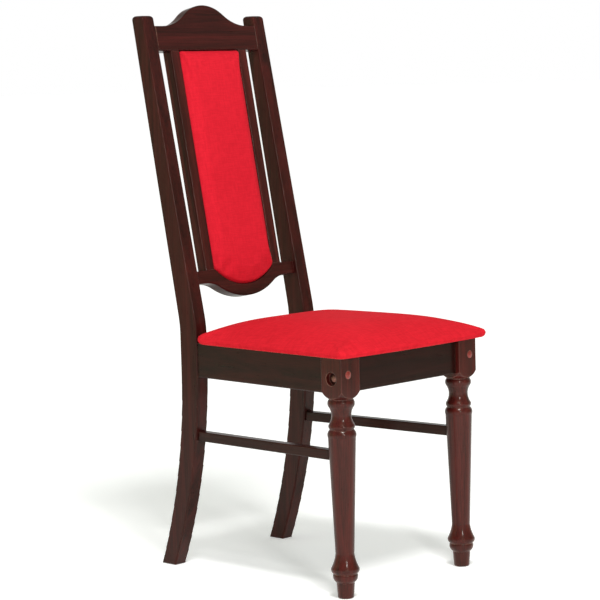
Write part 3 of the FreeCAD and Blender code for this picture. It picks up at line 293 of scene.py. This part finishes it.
def plated(name, bright, dull):
    """Plated steel with fine turning marks and dull patches."""
    material, shade = new_finish(name)
    patches = cloud(shade, GRAIN_UPRIGHT, **PLATING_PATCH)
    marks = cloud(shade, GRAIN_UPRIGHT, **TURNING_MARK)
    colour = patches.between(0.35, 0.70).blend(bright, dull)
    skin = shade.node("ShaderNodeBump", {}, {"Strength": 0.2, "Distance": 0.0001, "Height": marks})
    lay_finish(shade, {"Base Color": colour, "Metallic": 1.0, "Roughness": 0.26 + patches * 0.22,
                       "Normal": skin})
    return material


finish_nodes(plated("zinc_steel", BRIGHT_ZINC, DULL_ZINC),
             ["barrel_nuts", "leg_screws", "corner_block_lag_screws", "seat_screws"])
finish_nodes(plated("browned_steel", PALE_BRONZE, DARK_BRONZE), ["leg_bolts"])


# Leg plugs
# Small domed caps pushed into the counterbores on the front faces of the front legs.
# They are a glossy red-brown, lighter than the wood around them.

PLUG_RED = (0.29, 0.042, 0.030, 1.0)
PLUG_BROWN = (0.15, 0.022, 0.016, 1.0)
PLUG_MOTTLE = {"unit": (0.003, 0.003, 0.003), "detail": 3.0, "roughness": 0.6}
plug_finish, shade = new_finish("plug_gloss")
mottle = cloud(shade, GRAIN_UPRIGHT, **PLUG_MOTTLE)
plug_skin = shade.node("ShaderNodeBump", {}, {"Strength": 0.12, "Distance": 0.0001, "Height": mottle})
lay_finish(shade, {"Base Color": mottle.between(0.35, 0.70).blend(PLUG_RED, PLUG_BROWN),
                   "Roughness": 0.25 + mottle * 0.15, "Normal": plug_skin,
                   "Specular IOR Level": 0.25, "Coat Weight": 0.2, "Coat Roughness": 0.1})
finish_nodes(plug_finish, ["leg_plugs"])


# Seat board and back board
# Plywood cut to the outlines of the seat and the panel; both are hidden in the upholstery except from
# below, where the seat board's face shows round the lining.

PALE_PLY = (0.62, 0.45, 0.28, 1.0)
DARK_PLY = (0.42, 0.27, 0.15, 1.0)
PEELED_FIGURE = {"unit": (0.06, 0.012, 0.30), "detail": 5.0, "roughness": 0.55, "distortion": 1.4}
PLY_FIBRE = {"unit": (0.0012, 0.0012, 0.03), "detail": 3.0, "roughness": 0.6}


def plywood(name, turned):
    """Birch ply: a broad peeled figure on the face, with fine fibres along it."""
    material, shade = new_finish(name)
    figure = cloud(shade, turned, **PEELED_FIGURE)
    fibre = cloud(shade, turned, **PLY_FIBRE)
    colour = (figure.between(0.3, 0.7) * 0.6 + fibre * 0.3).blend(PALE_PLY, DARK_PLY)
    skin = shade.node("ShaderNodeBump", {}, {"Strength": 0.3, "Distance": 0.0002, "Height": fibre})
    lay_finish(shade, {"Base Color": colour, "Roughness": 0.60 + fibre * 0.2, "Normal": skin,
                       "Specular IOR Level": 0.3})
    return material


finish_nodes(plywood("seat_ply", GRAIN_ACROSS), ["seat_board"])
finish_nodes(plywood("back_ply", GRAIN_RAKED), ["back_panel_board"])


# Seat cushion
# Foam on the board under one piece of red cloth, drawn down over the edge and fixed underneath.
# It crowns towards the middle, its front bows forward, and the fixings draw its lower edge in.

RED = (0.70, 0.0165, 0.029, 1.0)
SHADED_RED = (0.50, 0.0098, 0.018, 1.0)
SHEEN_PINK = (1.0, 0.62, 0.60, 1.0)
FLAT_LAID = (0.0, 0.0, 0.0)
THREAD = 0.0016
WARP_SLUB = {"unit": (0.020, 0.0024, 0.020), "detail": 3.0, "roughness": 0.6}
WEFT_SLUB = {"unit": (0.0024, 0.020, 0.020), "detail": 3.0, "roughness": 0.6}
FADED_PATCH = {"unit": (0.11, 0.11, 0.11), "detail": 3.0, "roughness": 0.5}
WEAVE_SHADE = 0.45
SLUB_SHADE = 0.44
FADE_SHADE = 0.20


def thread_waves(shade, first, second):
    """Plain weave: threads that cross over and under each other, from 0 to 1."""
    over = shade.node("ShaderNodeMath", {"operation": "SINE"}, {0: first * math.pi})
    under = shade.node("ShaderNodeMath", {"operation": "SINE"}, {0: second * math.pi})
    return over * under * 0.5 + 0.5


def woven_cloth(name, turned, light, dark):
    """Woven upholstery cloth laid flat on the turned XY plane and drawn over the edges."""
    material, shade = new_finish(name)
    threads = place_in(shade, turned, (THREAD, THREAD, THREAD))
    across, along, up = (shade.node("ShaderNodeSeparateXYZ", {}, {"Vector": threads}, output=axis)
                         for axis in "XYZ")
    facing = shade.node("ShaderNodeMapping", {"vector_type": "TEXTURE"},
                        {"Vector": shade.node("ShaderNodeNewGeometry", output="Normal"),
                         "Rotation": turned})
    side_x, side_y, side_z = (
        shade.node("ShaderNodeSeparateXYZ", {}, {"Vector": facing}, output=axis) ** 2.0 for axis in "XYZ")
    weave = (thread_waves(shade, across, along) * side_z + thread_waves(shade, along, up) * side_x
             + thread_waves(shade, across, up) * side_y)
    slubs = (cloud(shade, turned, **WARP_SLUB) + cloud(shade, turned, **WEFT_SLUB)) * 0.5
    fade = cloud(shade, turned, **FADED_PATCH)
    tone = ((1.0 - weave) * WEAVE_SHADE + slubs.between(0.40, 0.60) * SLUB_SHADE
            + fade.between(0.35, 0.70) * FADE_SHADE)
    skin = shade.node("ShaderNodeBump", {},
                      {"Strength": 0.45, "Distance": 0.0004, "Height": weave * 0.7 + slubs * 0.6})
    lay_finish(shade, {"Base Color": tone.blend(light, dark), "Roughness": 0.74 + weave * 0.14,
                       "Normal": skin, "Specular IOR Level": 0.03, "Sheen Weight": 0.012,
                       "Sheen Roughness": 0.45, "Sheen Tint": SHEEN_PINK})
    return material


EDGE_GATHER = 0.62


def gathered(cells):
    """Shares from 0 to 1 that lie closer together towards both ends."""
    even = np.linspace(0.0, 1.0, cells + 1)
    return even - EDGE_GATHER * np.sin(2 * math.pi * even) / (2 * math.pi)


ARC_STEPS = 12


def rounded_sides(corners, radii, cells):
    """The sides of a four-cornered outline, each from the middle of one rounded corner to the next."""
    arcs = []
    for index, (corner, radius) in enumerate(zip(corners, radii)):
        here = np.array(corner)
        before = np.array(corners[index - 1]) - here
        after = np.array(corners[(index + 1) % 4]) - here
        before /= np.linalg.norm(before)
        after /= np.linalg.norm(after)
        half = math.acos(before @ after) / 2
        middle = here + (before + after) / np.linalg.norm(before + after) * radius / math.sin(half)
        start = here + before * radius / math.tan(half) - middle
        end = here + after * radius / math.tan(half) - middle
        spokes = [start * (1.0 - step / ARC_STEPS) + end * step / ARC_STEPS
                  for step in range(ARC_STEPS + 1)]
        arcs.append([middle + spoke / np.linalg.norm(spoke) * radius for spoke in spokes])
    sides = []
    for index, count in enumerate(cells + cells):
        line = np.array(arcs[index][ARC_STEPS // 2:] + arcs[(index + 1) % 4][:ARC_STEPS // 2 + 1])
        runs = np.concatenate([[0.0], np.cumsum(np.linalg.norm(np.diff(line, axis=0), axis=1))])
        marks = gathered(count) * runs[-1]
        sides.append(np.stack([np.interp(marks, runs, line[:, axis]) for axis in range(2)], axis=1))
    return sides


def loop_of(sides):
    """The sides as one closed row of points."""
    return np.concatenate([side[:-1] for side in sides])


def sheet_over(sides):
    """A net of places that spans an outline of four sides."""
    foot, right, head, left = sides[0], sides[1], sides[2][::-1], sides[3][::-1]
    over = gathered(len(foot) - 1)[:, None, None]
    up = gathered(len(left) - 1)[None, :, None]
    edges = (foot[:, None] * (1 - up) + head[:, None] * up + left[None] * (1 - over) + right[None] * over)
    corners = (foot[0] * (1 - over) * (1 - up) + foot[-1] * over * (1 - up)
               + head[0] * (1 - over) * up + head[-1] * over * up)
    return edges - corners


def net_faces(rows, columns):
    """The four-sided faces of a net of places."""
    return [(row * columns + column, (row + 1) * columns + column, (row + 1) * columns + column + 1,
             row * columns + column + 1) for row in range(rows - 1) for column in range(columns - 1)]


def net_rim(rows, columns):
    """The places round the rim of a net, in the order of loop_of."""
    return ([row * columns for row in range(rows - 1)]
            + [(rows - 1) * columns + column for column in range(columns - 1)]
            + [row * columns + columns - 1 for row in range(rows - 1, 0, -1)]
            + [column for column in range(columns - 1, 0, -1)])


def new_piece(name, places, faces):
    """A mesh piece from its places and faces."""
    mesh = bpy.data.meshes.new(name)
    mesh.from_pydata([tuple(place) for place in places], [], faces)
    piece = bpy.data.objects.new(name, mesh)
    bpy.context.scene.collection.objects.link(piece)
    return piece


def bake_down(piece):
    """Makes a piece's modifiers part of its mesh."""
    shaped = bpy.data.meshes.new_from_object(piece.evaluated_get(bpy.context.evaluated_depsgraph_get()))
    piece.modifiers.clear()
    piece.data = shaped


CLOTH_SETTINGS = {"quality": 6, "mass": 0.25, "tension_stiffness": 18.0, "compression_stiffness": 18.0,
                  "shear_stiffness": 8.0, "bending_stiffness": 0.8, "use_pressure": True,
                  "uniform_pressure_force": 4.0, "vertex_group_mass": "fixed"}
CLOTH_STEPS = 20
TINY = 1e-9


def swollen(name, places, faces, rim, most):
    """Places of a cloth held at its rim and pushed out by its stuffing, none moved further than most."""
    piece = new_piece(name, places, faces)
    piece.vertex_groups.new(name="fixed").add(rim, 1.0, "REPLACE")
    cloth = piece.modifiers.new("cloth", "CLOTH")
    for setting, value in CLOTH_SETTINGS.items():
        setattr(cloth.settings, setting, value)
    cloth.settings.effector_weights.gravity = 0.0
    cloth.collision_settings.use_collision = False
    for step in range(1, CLOTH_STEPS + 1):
        bpy.context.scene.frame_set(step)
    bake_down(piece)
    bpy.context.scene.frame_set(1)
    start = np.array(places)
    swell = np.array([tuple(vertex.co) for vertex in piece.data.vertices]) - start
    bpy.data.objects.remove(piece)
    length = np.linalg.norm(swell, axis=1, keepdims=True)
    held_back = np.minimum(1.0, most / np.maximum(length, TINY))
    return [Vector(place) for place in start + swell * held_back]


def padded_form(name, sides_at, crown_at, wall, lay, most):
    """A closed pad: a crowned and swollen net over its outline, and a wall of rows (inset, height)."""
    net = sheet_over(sides_at(0.0))
    rows, columns = net.shape[:2]
    across = 2.0 * gathered(rows - 1)[:, None] - 1.0
    along = 2.0 * gathered(columns - 1)[None, :] - 1.0
    heights = crown_at(across, along).ravel()
    places = [lay(*place, height) for place, height in zip(net.reshape(-1, 2), heights)]
    faces = net_faces(rows, columns)
    rim = net_rim(rows, columns)
    places = swollen(name, places, faces, rim, most)
    for inset, height in wall:
        row = [lay(*place, height) for place in loop_of(sides_at(inset))]
        below = list(range(len(places), len(places) + len(row)))
        places += row
        for index in range(len(rim)):
            following = (index + 1) % len(rim)
            faces.append((rim[index], below[index], below[following], rim[following]))
        rim = below
    faces.append(tuple(reversed(rim)))
    return new_piece(name, places, faces)


SUBDIVISIONS = 2


def dress(piece, finish):
    """Rounds a piece by subdivision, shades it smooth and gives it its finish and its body."""
    piece.modifiers.new("skin", "SUBSURF").levels = SUBDIVISIONS
    bake_down(piece)
    piece.data.shade_smooth()
    piece.data.materials.clear()
    piece.data.materials.append(finish)
    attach(piece, "root")


ROUND_POWER = 3.4
SQUARING = 14


def crown(across, along, square):
    """How high a pad stands, from 0 at its edge to 1; the shares count 1 at an edge and 0 well inside.

    Near the edge the crown's outline turns from round to square, as far as square says.
    """
    across = np.clip(across, 0.0, 1.0)
    along = np.clip(along, 0.0, 1.0)
    power = ROUND_POWER + square * np.maximum(across, along) ** SQUARING
    share = np.minimum(1.0, (across ** power + along ** power) ** (1.0 / power))
    return np.sqrt(1.0 - share ** 2)


SEAT_LOW, SEAT_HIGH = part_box("seat_cover")
SEAT_FRONT_HALF = 0.2021
SEAT_REAR_HALF = 0.1742
SEAT_BOW = 0.008
SEAT_CORNERS = (0.012, 0.012, 0.026, 0.026)
SEAT_CELLS = [50, 50]
SEAT_EDGE = 0.438
SEAT_SWELL = 0.006
SEAT_CROWN = SEAT_HIGH.z - SEAT_EDGE - SEAT_SWELL
SEAT_SQUARE = 60.0
SEAT_SLOPE_POWER = 1.2
UNDER_BOARD = 0.00015
SEAT_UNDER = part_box("seat_board")[0].z - UNDER_BOARD
# The cloth's way down over the edge and under the board: how far in, and how high.
SEAT_WALL = ((0.0002, SEAT_EDGE - 0.002), (0.0008, SEAT_EDGE - 0.0045), (0.0022, SEAT_EDGE - 0.007),
             (0.0042, SEAT_UNDER + 0.0004), (0.0064, SEAT_UNDER), (0.0285, SEAT_UNDER),
             (0.0290, SEAT_UNDER + 0.0004))
CROWN_FLAT = 0.055
seat_front = SEAT_LOW.y + SEAT_BOW
seat_rear = SEAT_HIGH.y
seat_middle = (seat_front + seat_rear) / 2


def bow_low_side(points, low, high, half, bow):
    """Bows the low side of an outline outwards in an arc."""
    nearness = (high - points[:, 1]) / (high - low)
    radius = (half ** 2 + bow ** 2) / (2.0 * bow)
    arc = np.sqrt(radius ** 2 - np.minimum(abs(points[:, 0]), half) ** 2) - (radius - bow)
    return points - np.stack([0 * nearness, nearness * arc], axis=1)


def seat_sides(inset):
    """The seat's plan, drawn in by an inset."""
    corners = [(inset - SEAT_FRONT_HALF, seat_front + inset), (SEAT_FRONT_HALF - inset, seat_front + inset),
               (SEAT_REAR_HALF - inset, seat_rear - inset), (inset - SEAT_REAR_HALF, seat_rear - inset)]
    return [bow_low_side(side, seat_front, seat_rear, SEAT_FRONT_HALF, SEAT_BOW)
            for side in rounded_sides(corners, SEAT_CORNERS, SEAT_CELLS)]


def seat_height(across, along):
    """The height of the seat's crown, for shares of its half width and half depth."""
    flat_across = CROWN_FLAT / SEAT_FRONT_HALF
    flat_along = CROWN_FLAT / (seat_middle - seat_front)
    slope = crown((abs(across) - flat_across) / (1.0 - flat_across),
                  (abs(along) - flat_along) / (1.0 - flat_along), SEAT_SQUARE)
    return SEAT_EDGE + SEAT_CROWN * slope ** SEAT_SLOPE_POWER


def laid_level(across, along, height):
    """A place on the seat."""
    return Vector((across, along, height))


seat_cushion = padded_form("seat_cushion", seat_sides, seat_height, SEAT_WALL, laid_level, SEAT_SWELL)
dress(seat_cushion, woven_cloth("seat_cloth", FLAT_LAID, RED, SHADED_RED))
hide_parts("seat_cover", "seat_padding")


# Dust cloth
# Dark non-woven lining, cut to clear the corner blocks and fixed under the seat board, with its rear end
# carried on across the gap to the rear apron, a dark sheet that stands for painted shade in that gap.
# Its fibres are pressed together in small dimples.
# It hangs a little slack.

LINING_GREY = (0.030, 0.029, 0.029, 1.0)
LINING_BLACK = (0.009, 0.009, 0.009, 1.0)
LINING_FIBRE = {"unit": (0.0011, 0.0040, 0.0020), "detail": 4.0, "roughness": 0.7, "distortion": 1.5}
LINING_DIMPLE = (0.0022, 0.0022, 0.0022)
lining, shade = new_finish("dark_lining")
fibres = cloud(shade, FLAT_LAID, **LINING_FIBRE)
dimples = shade.node("ShaderNodeTexVoronoi", {},
                     {"Vector": place_in(shade, FLAT_LAID, LINING_DIMPLE), "Scale": 1.0,
                      "Randomness": 0.25}).between(0.12, 0.40)
lining_skin = shade.node("ShaderNodeBump", {},
                         {"Strength": 0.6, "Distance": 0.0003, "Height": fibres * 0.4 + dimples * 0.6})
lay_finish(shade, {"Base Color": (fibres * 0.5 + dimples * 0.4).blend(LINING_BLACK, LINING_GREY),
                   "Roughness": 0.80 + fibres * 0.15, "Normal": lining_skin, "Specular IOR Level": 0.2})

LINING_THICKNESS = 0.0006
LINING_SLACK = 0.0025
LINING_FRONT_HALF = 0.0905
LINING_REAR_HALF = 0.0865
LINING_SIDE_TAPER = 0.0169
LINING_FRONT_CORNER = 0.0618
LINING_REAR_CORNER = 0.0333
LINING_CLEARANCE = 0.0005
LINING_ROWS = (8, 30, 6)
LINING_COLUMNS = 41
lining_low, lining_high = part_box("seat_dust_cloth")
# The rear end spans the gap to the rear apron: a dark sheet as painted shade where the gap would show
# through.
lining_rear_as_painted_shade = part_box("rear_apron")[0].y - LINING_CLEARANCE
corner_depths = [lining_low.y, lining_low.y + LINING_FRONT_CORNER, lining_high.y - LINING_REAR_CORNER,
                 lining_rear_as_painted_shade]
corner_halves = [LINING_FRONT_HALF, lining_high.x, lining_high.x - LINING_SIDE_TAPER, LINING_REAR_HALF]


def sheet_piece(name, places, shape, thickness):
    """A thin sheet of cloth from a net of places."""
    piece = new_piece(name, places, net_faces(*shape))
    solid = piece.modifiers.new("cloth", "SOLIDIFY")
    solid.thickness = thickness
    solid.offset = 0.0
    bake_down(piece)
    return piece


depths = np.concatenate([np.linspace(start, end, rows, endpoint=end == lining_rear_as_painted_shade)
                         for start, end, rows in zip(corner_depths, corner_depths[1:], LINING_ROWS)])
halves = np.interp(depths, corner_depths, corner_halves)
across_shares = np.linspace(-1.0, 1.0, LINING_COLUMNS)
along_shares = 2.0 * (depths - lining_low.y) / (lining_rear_as_painted_shade - lining_low.y) - 1.0
lining_hem = lining_high.z - LINING_THICKNESS
lining_places = [Vector((share * half, depth,
                         lining_hem - LINING_SLACK * (1.0 - share ** 2) * (1.0 - along_share ** 2)))
                 for depth, half, along_share in zip(depths, halves, along_shares)
                 for share in across_shares]
dust_cloth = sheet_piece("dust_cloth", lining_places, (len(depths), len(across_shares)), LINING_THICKNESS)
dress(dust_cloth, lining)
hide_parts("seat_dust_cloth")


# Back cushion
# Thinner foam on the back board under the same cloth, squared at the top and rounded at the foot,
# where it follows the arch in the lower rail. It sits between the slats and stands a little proud.

BACK_FOOT = Vector((0.0, 0.14073, 0.461))
BACK_TURNED = (QUARTER_TURN - RAKE, 0.0, 0.0)
# The back's reds are darker than the seat's, though it is the same cloth: painted shade.
BACK_RED_WITH_PAINTED_SHADE = (0.62, 0.0152, 0.029, 1.0)
BACK_SHADED_RED_WITH_PAINTED_SHADE = (0.46, 0.0092, 0.019, 1.0)
PANEL_HALF = 0.0775
PANEL_FOOT = 0.0998
PANEL_TOP = 0.5200
PANEL_ARCH = 0.033
PANEL_CORNERS = (0.0012, 0.0012, 0.005, 0.005)
PANEL_CELLS = [26, 60]
PANEL_BOARD = 0.012
PANEL_SWELL = 0.004
PANEL_FULLNESS = 0.0220
PANEL_CROWN = PANEL_FULLNESS - PANEL_SWELL
PANEL_SQUARE = 12.0
PANEL_REACH = 0.010
PANEL_EDGE = 0.0075
# The cloth's way from the edge of the padding to the board: how far in, and how high.
PANEL_WALL = ((0.0, 0.0055), (0.0001, 0.0030), (0.0003, 0.0010), (0.0006, 0.0001))


def on_back(across, along, height):
    """A place on the raked back: across it, along it from the stile's knee, and forward of the board."""
    depth = PANEL_BOARD - height
    return BACK_FOOT + Vector((across, along * math.sin(RAKE) + depth * math.cos(RAKE),
                               along * math.cos(RAKE) - depth * math.sin(RAKE)))


def panel_sides(inset):
    """The panel's outline, drawn in by an inset."""
    half = PANEL_HALF - inset
    corners = [(-half, PANEL_FOOT + inset), (half, PANEL_FOOT + inset),
               (half, PANEL_TOP - inset), (-half, PANEL_TOP - inset)]
    return [bow_low_side(side, PANEL_FOOT, PANEL_TOP, PANEL_HALF, PANEL_ARCH)
            for side in rounded_sides(corners, PANEL_CORNERS, PANEL_CELLS)]


def panel_height(across, along):
    """The height of the panel's padding, for shares of its half width and half length."""
    reach_across = PANEL_REACH / PANEL_HALF
    reach_along = 2.0 * PANEL_REACH / (PANEL_TOP - PANEL_FOOT)
    slope = crown(1.0 - (1.0 - abs(across)) / reach_across, 1.0 - (1.0 - abs(along)) / reach_along,
                  PANEL_SQUARE)
    return PANEL_EDGE + (PANEL_CROWN - PANEL_EDGE) * slope


back_cushion = padded_form("back_cushion", panel_sides, panel_height, PANEL_WALL, on_back, PANEL_SWELL)
dress(back_cushion, woven_cloth("back_cloth_with_painted_shade", BACK_TURNED, BACK_RED_WITH_PAINTED_SHADE, BACK_SHADED_RED_WITH_PAINTED_SHADE))
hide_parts("back_panel_cover", "back_panel_padding")


# Rear cloth of the back
# One more piece of the red cloth covers the back of the board, stretched flat between the slats.
# It is cut to the panel's outline, and the board's own edges hold it all round.

REAR_CLOTH_DEPTH = 0.0065
REAR_CLOTH_THICKNESS = 0.0008
REAR_CLOTH_INSET = -0.0004
REAR_CLOTH_SWELL = 0.0008
rear_net = sheet_over(panel_sides(REAR_CLOTH_INSET))
rear_across = 2.0 * gathered(rear_net.shape[0] - 1)[:, None] - 1.0
rear_along = 2.0 * gathered(rear_net.shape[1] - 1)[None, :] - 1.0
rear_swell = REAR_CLOTH_SWELL * (1.0 - rear_across ** 2) * (1.0 - rear_along ** 4)
rear_places = [on_back(*place, -REAR_CLOTH_DEPTH - swell)
               for place, swell in zip(rear_net.reshape(-1, 2), rear_swell.ravel())]
rear_cloth = sheet_piece("rear_cloth", rear_places, rear_net.shape[:2], REAR_CLOTH_THICKNESS)
# The rear cloth shares this finish, with the painted shade of its darker red.
dress(rear_cloth, back_cushion.data.materials[0])
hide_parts("back_panel_rear_cover")


# Studio
# A pale floor in a room with white walls, a broad soft light high in front and a narrow one lower down.
# Two dull cards keep the white out of the lacquer's gloss, and the camera stands where the picture's did.

def lamp(name, place, aim, width, height, power):
    """A soft rectangular light."""
    light = bpy.data.lights.new(name, "AREA")
    light.shape = "RECTANGLE"
    light.size = width
    light.size_y = height
    light.energy = power
    holder = bpy.data.objects.new(name, light)
    holder.location = place
    holder.rotation_euler = (Vector(aim) - Vector(place)).to_track_quat("-Z", "Y").to_euler()
    bpy.context.scene.collection.objects.link(holder)


LAMP_AIM = (0.0, 0.0, 0.5)
lamp("key", place=(-1.3, -1.8, 4.2), aim=LAMP_AIM, width=0.9, height=0.9, power=132.0)
lamp("front", place=(-1.8, -3.1, 1.7), aim=LAMP_AIM, width=0.35, height=0.8, power=34.0)

CARD_PLACE = Vector((1.87, -1.79, 0.0))
CARD_HALF_WIDTH = 1.7
CARD_HEIGHT = 1.7
CARD_FELT = {"unit": (0.2, 0.2, 0.2), "detail": 3.0, "roughness": 0.5}
GREEN_GREY = (0.55, 0.64, 0.47, 1.0)
DARK_GREY = (0.34, 0.37, 0.31, 1.0)
BLACK = (0.0, 0.0, 0.0, 1.0)


def dull_card(name, middle, colour):
    """A dull card for the lacquer to mirror, which the camera doesn't see and which throws no shadow."""
    along = Vector((-middle.y, middle.x, 0.0)).normalized() * CARD_HALF_WIDTH
    places = [middle - along, middle + along]
    places += [place + Vector((0.0, 0.0, CARD_HEIGHT)) for place in reversed(places)]
    card = new_piece(name, places, [(0, 1, 2, 3)])
    finish, shade = new_finish(name)
    felt = cloud(shade, FLAT_LAID, **CARD_FELT)
    lay_finish(shade, {"Base Color": (felt * 0.3).blend(colour, BLACK),
                       "Roughness": 0.9, "Specular IOR Level": 0.0})
    card.data.materials.append(finish)
    card.visible_camera = False
    card.visible_shadow = False


dull_card("card_behind", -CARD_PLACE, GREEN_GREY)
dull_card("card_in_front", CARD_PLACE, DARK_GREY)

FLOOR_SIZE = 400.0
FLOOR_CELLS = 8
FLOOR_DROP = 0.0005
FLOOR_WHITE = (0.95, 0.95, 0.945, 1.0)
FLOOR_PALE = (0.93, 0.93, 0.925, 1.0)
FLOOR_SPECKLE = {"unit": (0.3, 0.3, 0.3), "detail": 3.0, "roughness": 0.5}
METRE = (1.0, 1.0, 1.0)
GLOW_NEAR = (0.34, 0.34, 0.34, 1.0)
GLOW_FAR = (0.64, 0.64, 0.64, 1.0)
GLOW_START = 0.6
GLOW_FULL = 3.6
bpy.ops.mesh.primitive_grid_add(x_subdivisions=FLOOR_CELLS, y_subdivisions=FLOOR_CELLS, size=FLOOR_SIZE,
                                location=(0.0, 0.0, -FLOOR_DROP))
floor = bpy.context.object
floor.name = "floor"
floor_finish, shade = new_finish("pale_floor")
far = shade.node("ShaderNodeVectorMath", {"operation": "LENGTH"},
                 {0: place_in(shade, FLAT_LAID, METRE)}, output="Value").between(GLOW_START, GLOW_FULL)
speckle = cloud(shade, FLAT_LAID, **FLOOR_SPECKLE)
lay_finish(shade, {"Base Color": speckle.blend(FLOOR_PALE, FLOOR_WHITE),
                   "Roughness": 0.9, "Specular IOR Level": 0.1,
                   "Emission Color": far.blend(GLOW_NEAR, GLOW_FAR), "Emission Strength": 1.0})
floor.data.materials.append(floor_finish)

WALL_WHITE = (1.0, 1.0, 1.0, 1.0)
CEILING_GREY = (0.38, 0.40, 0.37, 1.0)
WALL_TOP = 0.10
CEILING_EDGE = 0.40
world = bpy.data.worlds.new("studio")
world.use_nodes = True
sky = Shade(world.node_tree)
world.node_tree.nodes.clear()
height = sky.node("ShaderNodeSeparateXYZ", {}, {"Vector": sky.node("ShaderNodeTexCoord")}, output="Z")
wall = height.between(WALL_TOP, CEILING_EDGE).blend(WALL_WHITE, CEILING_GREY)
room = sky.node("ShaderNodeBackground", {}, {"Color": wall, "Strength": 1.0})
sky.node("ShaderNodeOutputWorld", {}, {"Surface": room})
bpy.context.scene.world = world
bpy.context.scene.view_settings.view_transform = "Standard"

CAMERA_PLACE = Vector((-2.9797, -2.8239, 0.9092))
CAMERA_AIM = Vector((-0.03481, -0.01738, 0.50579))
CAMERA_ROLL = math.radians(-1.58)
CAMERA_LENS = 132.65
CAMERA_SENSOR = 36.0
forward = (CAMERA_AIM - CAMERA_PLACE).normalized()
level_right = forward.cross(Vector((0.0, 0.0, 1.0))).normalized()
level_up = level_right.cross(forward)
right = level_right * math.cos(CAMERA_ROLL) + level_up * math.sin(CAMERA_ROLL)
up = level_up * math.cos(CAMERA_ROLL) - level_right * math.sin(CAMERA_ROLL)
lens = bpy.data.cameras.new("camera")
lens.sensor_width = CAMERA_SENSOR
lens.lens = CAMERA_LENS
camera = bpy.data.objects.new("camera", lens)
facing = Matrix((right, up, -forward)).transposed().to_4x4()
camera.matrix_world = Matrix.Translation(CAMERA_PLACE) @ facing
bpy.context.scene.collection.objects.link(camera)
bpy.context.scene.camera = camera
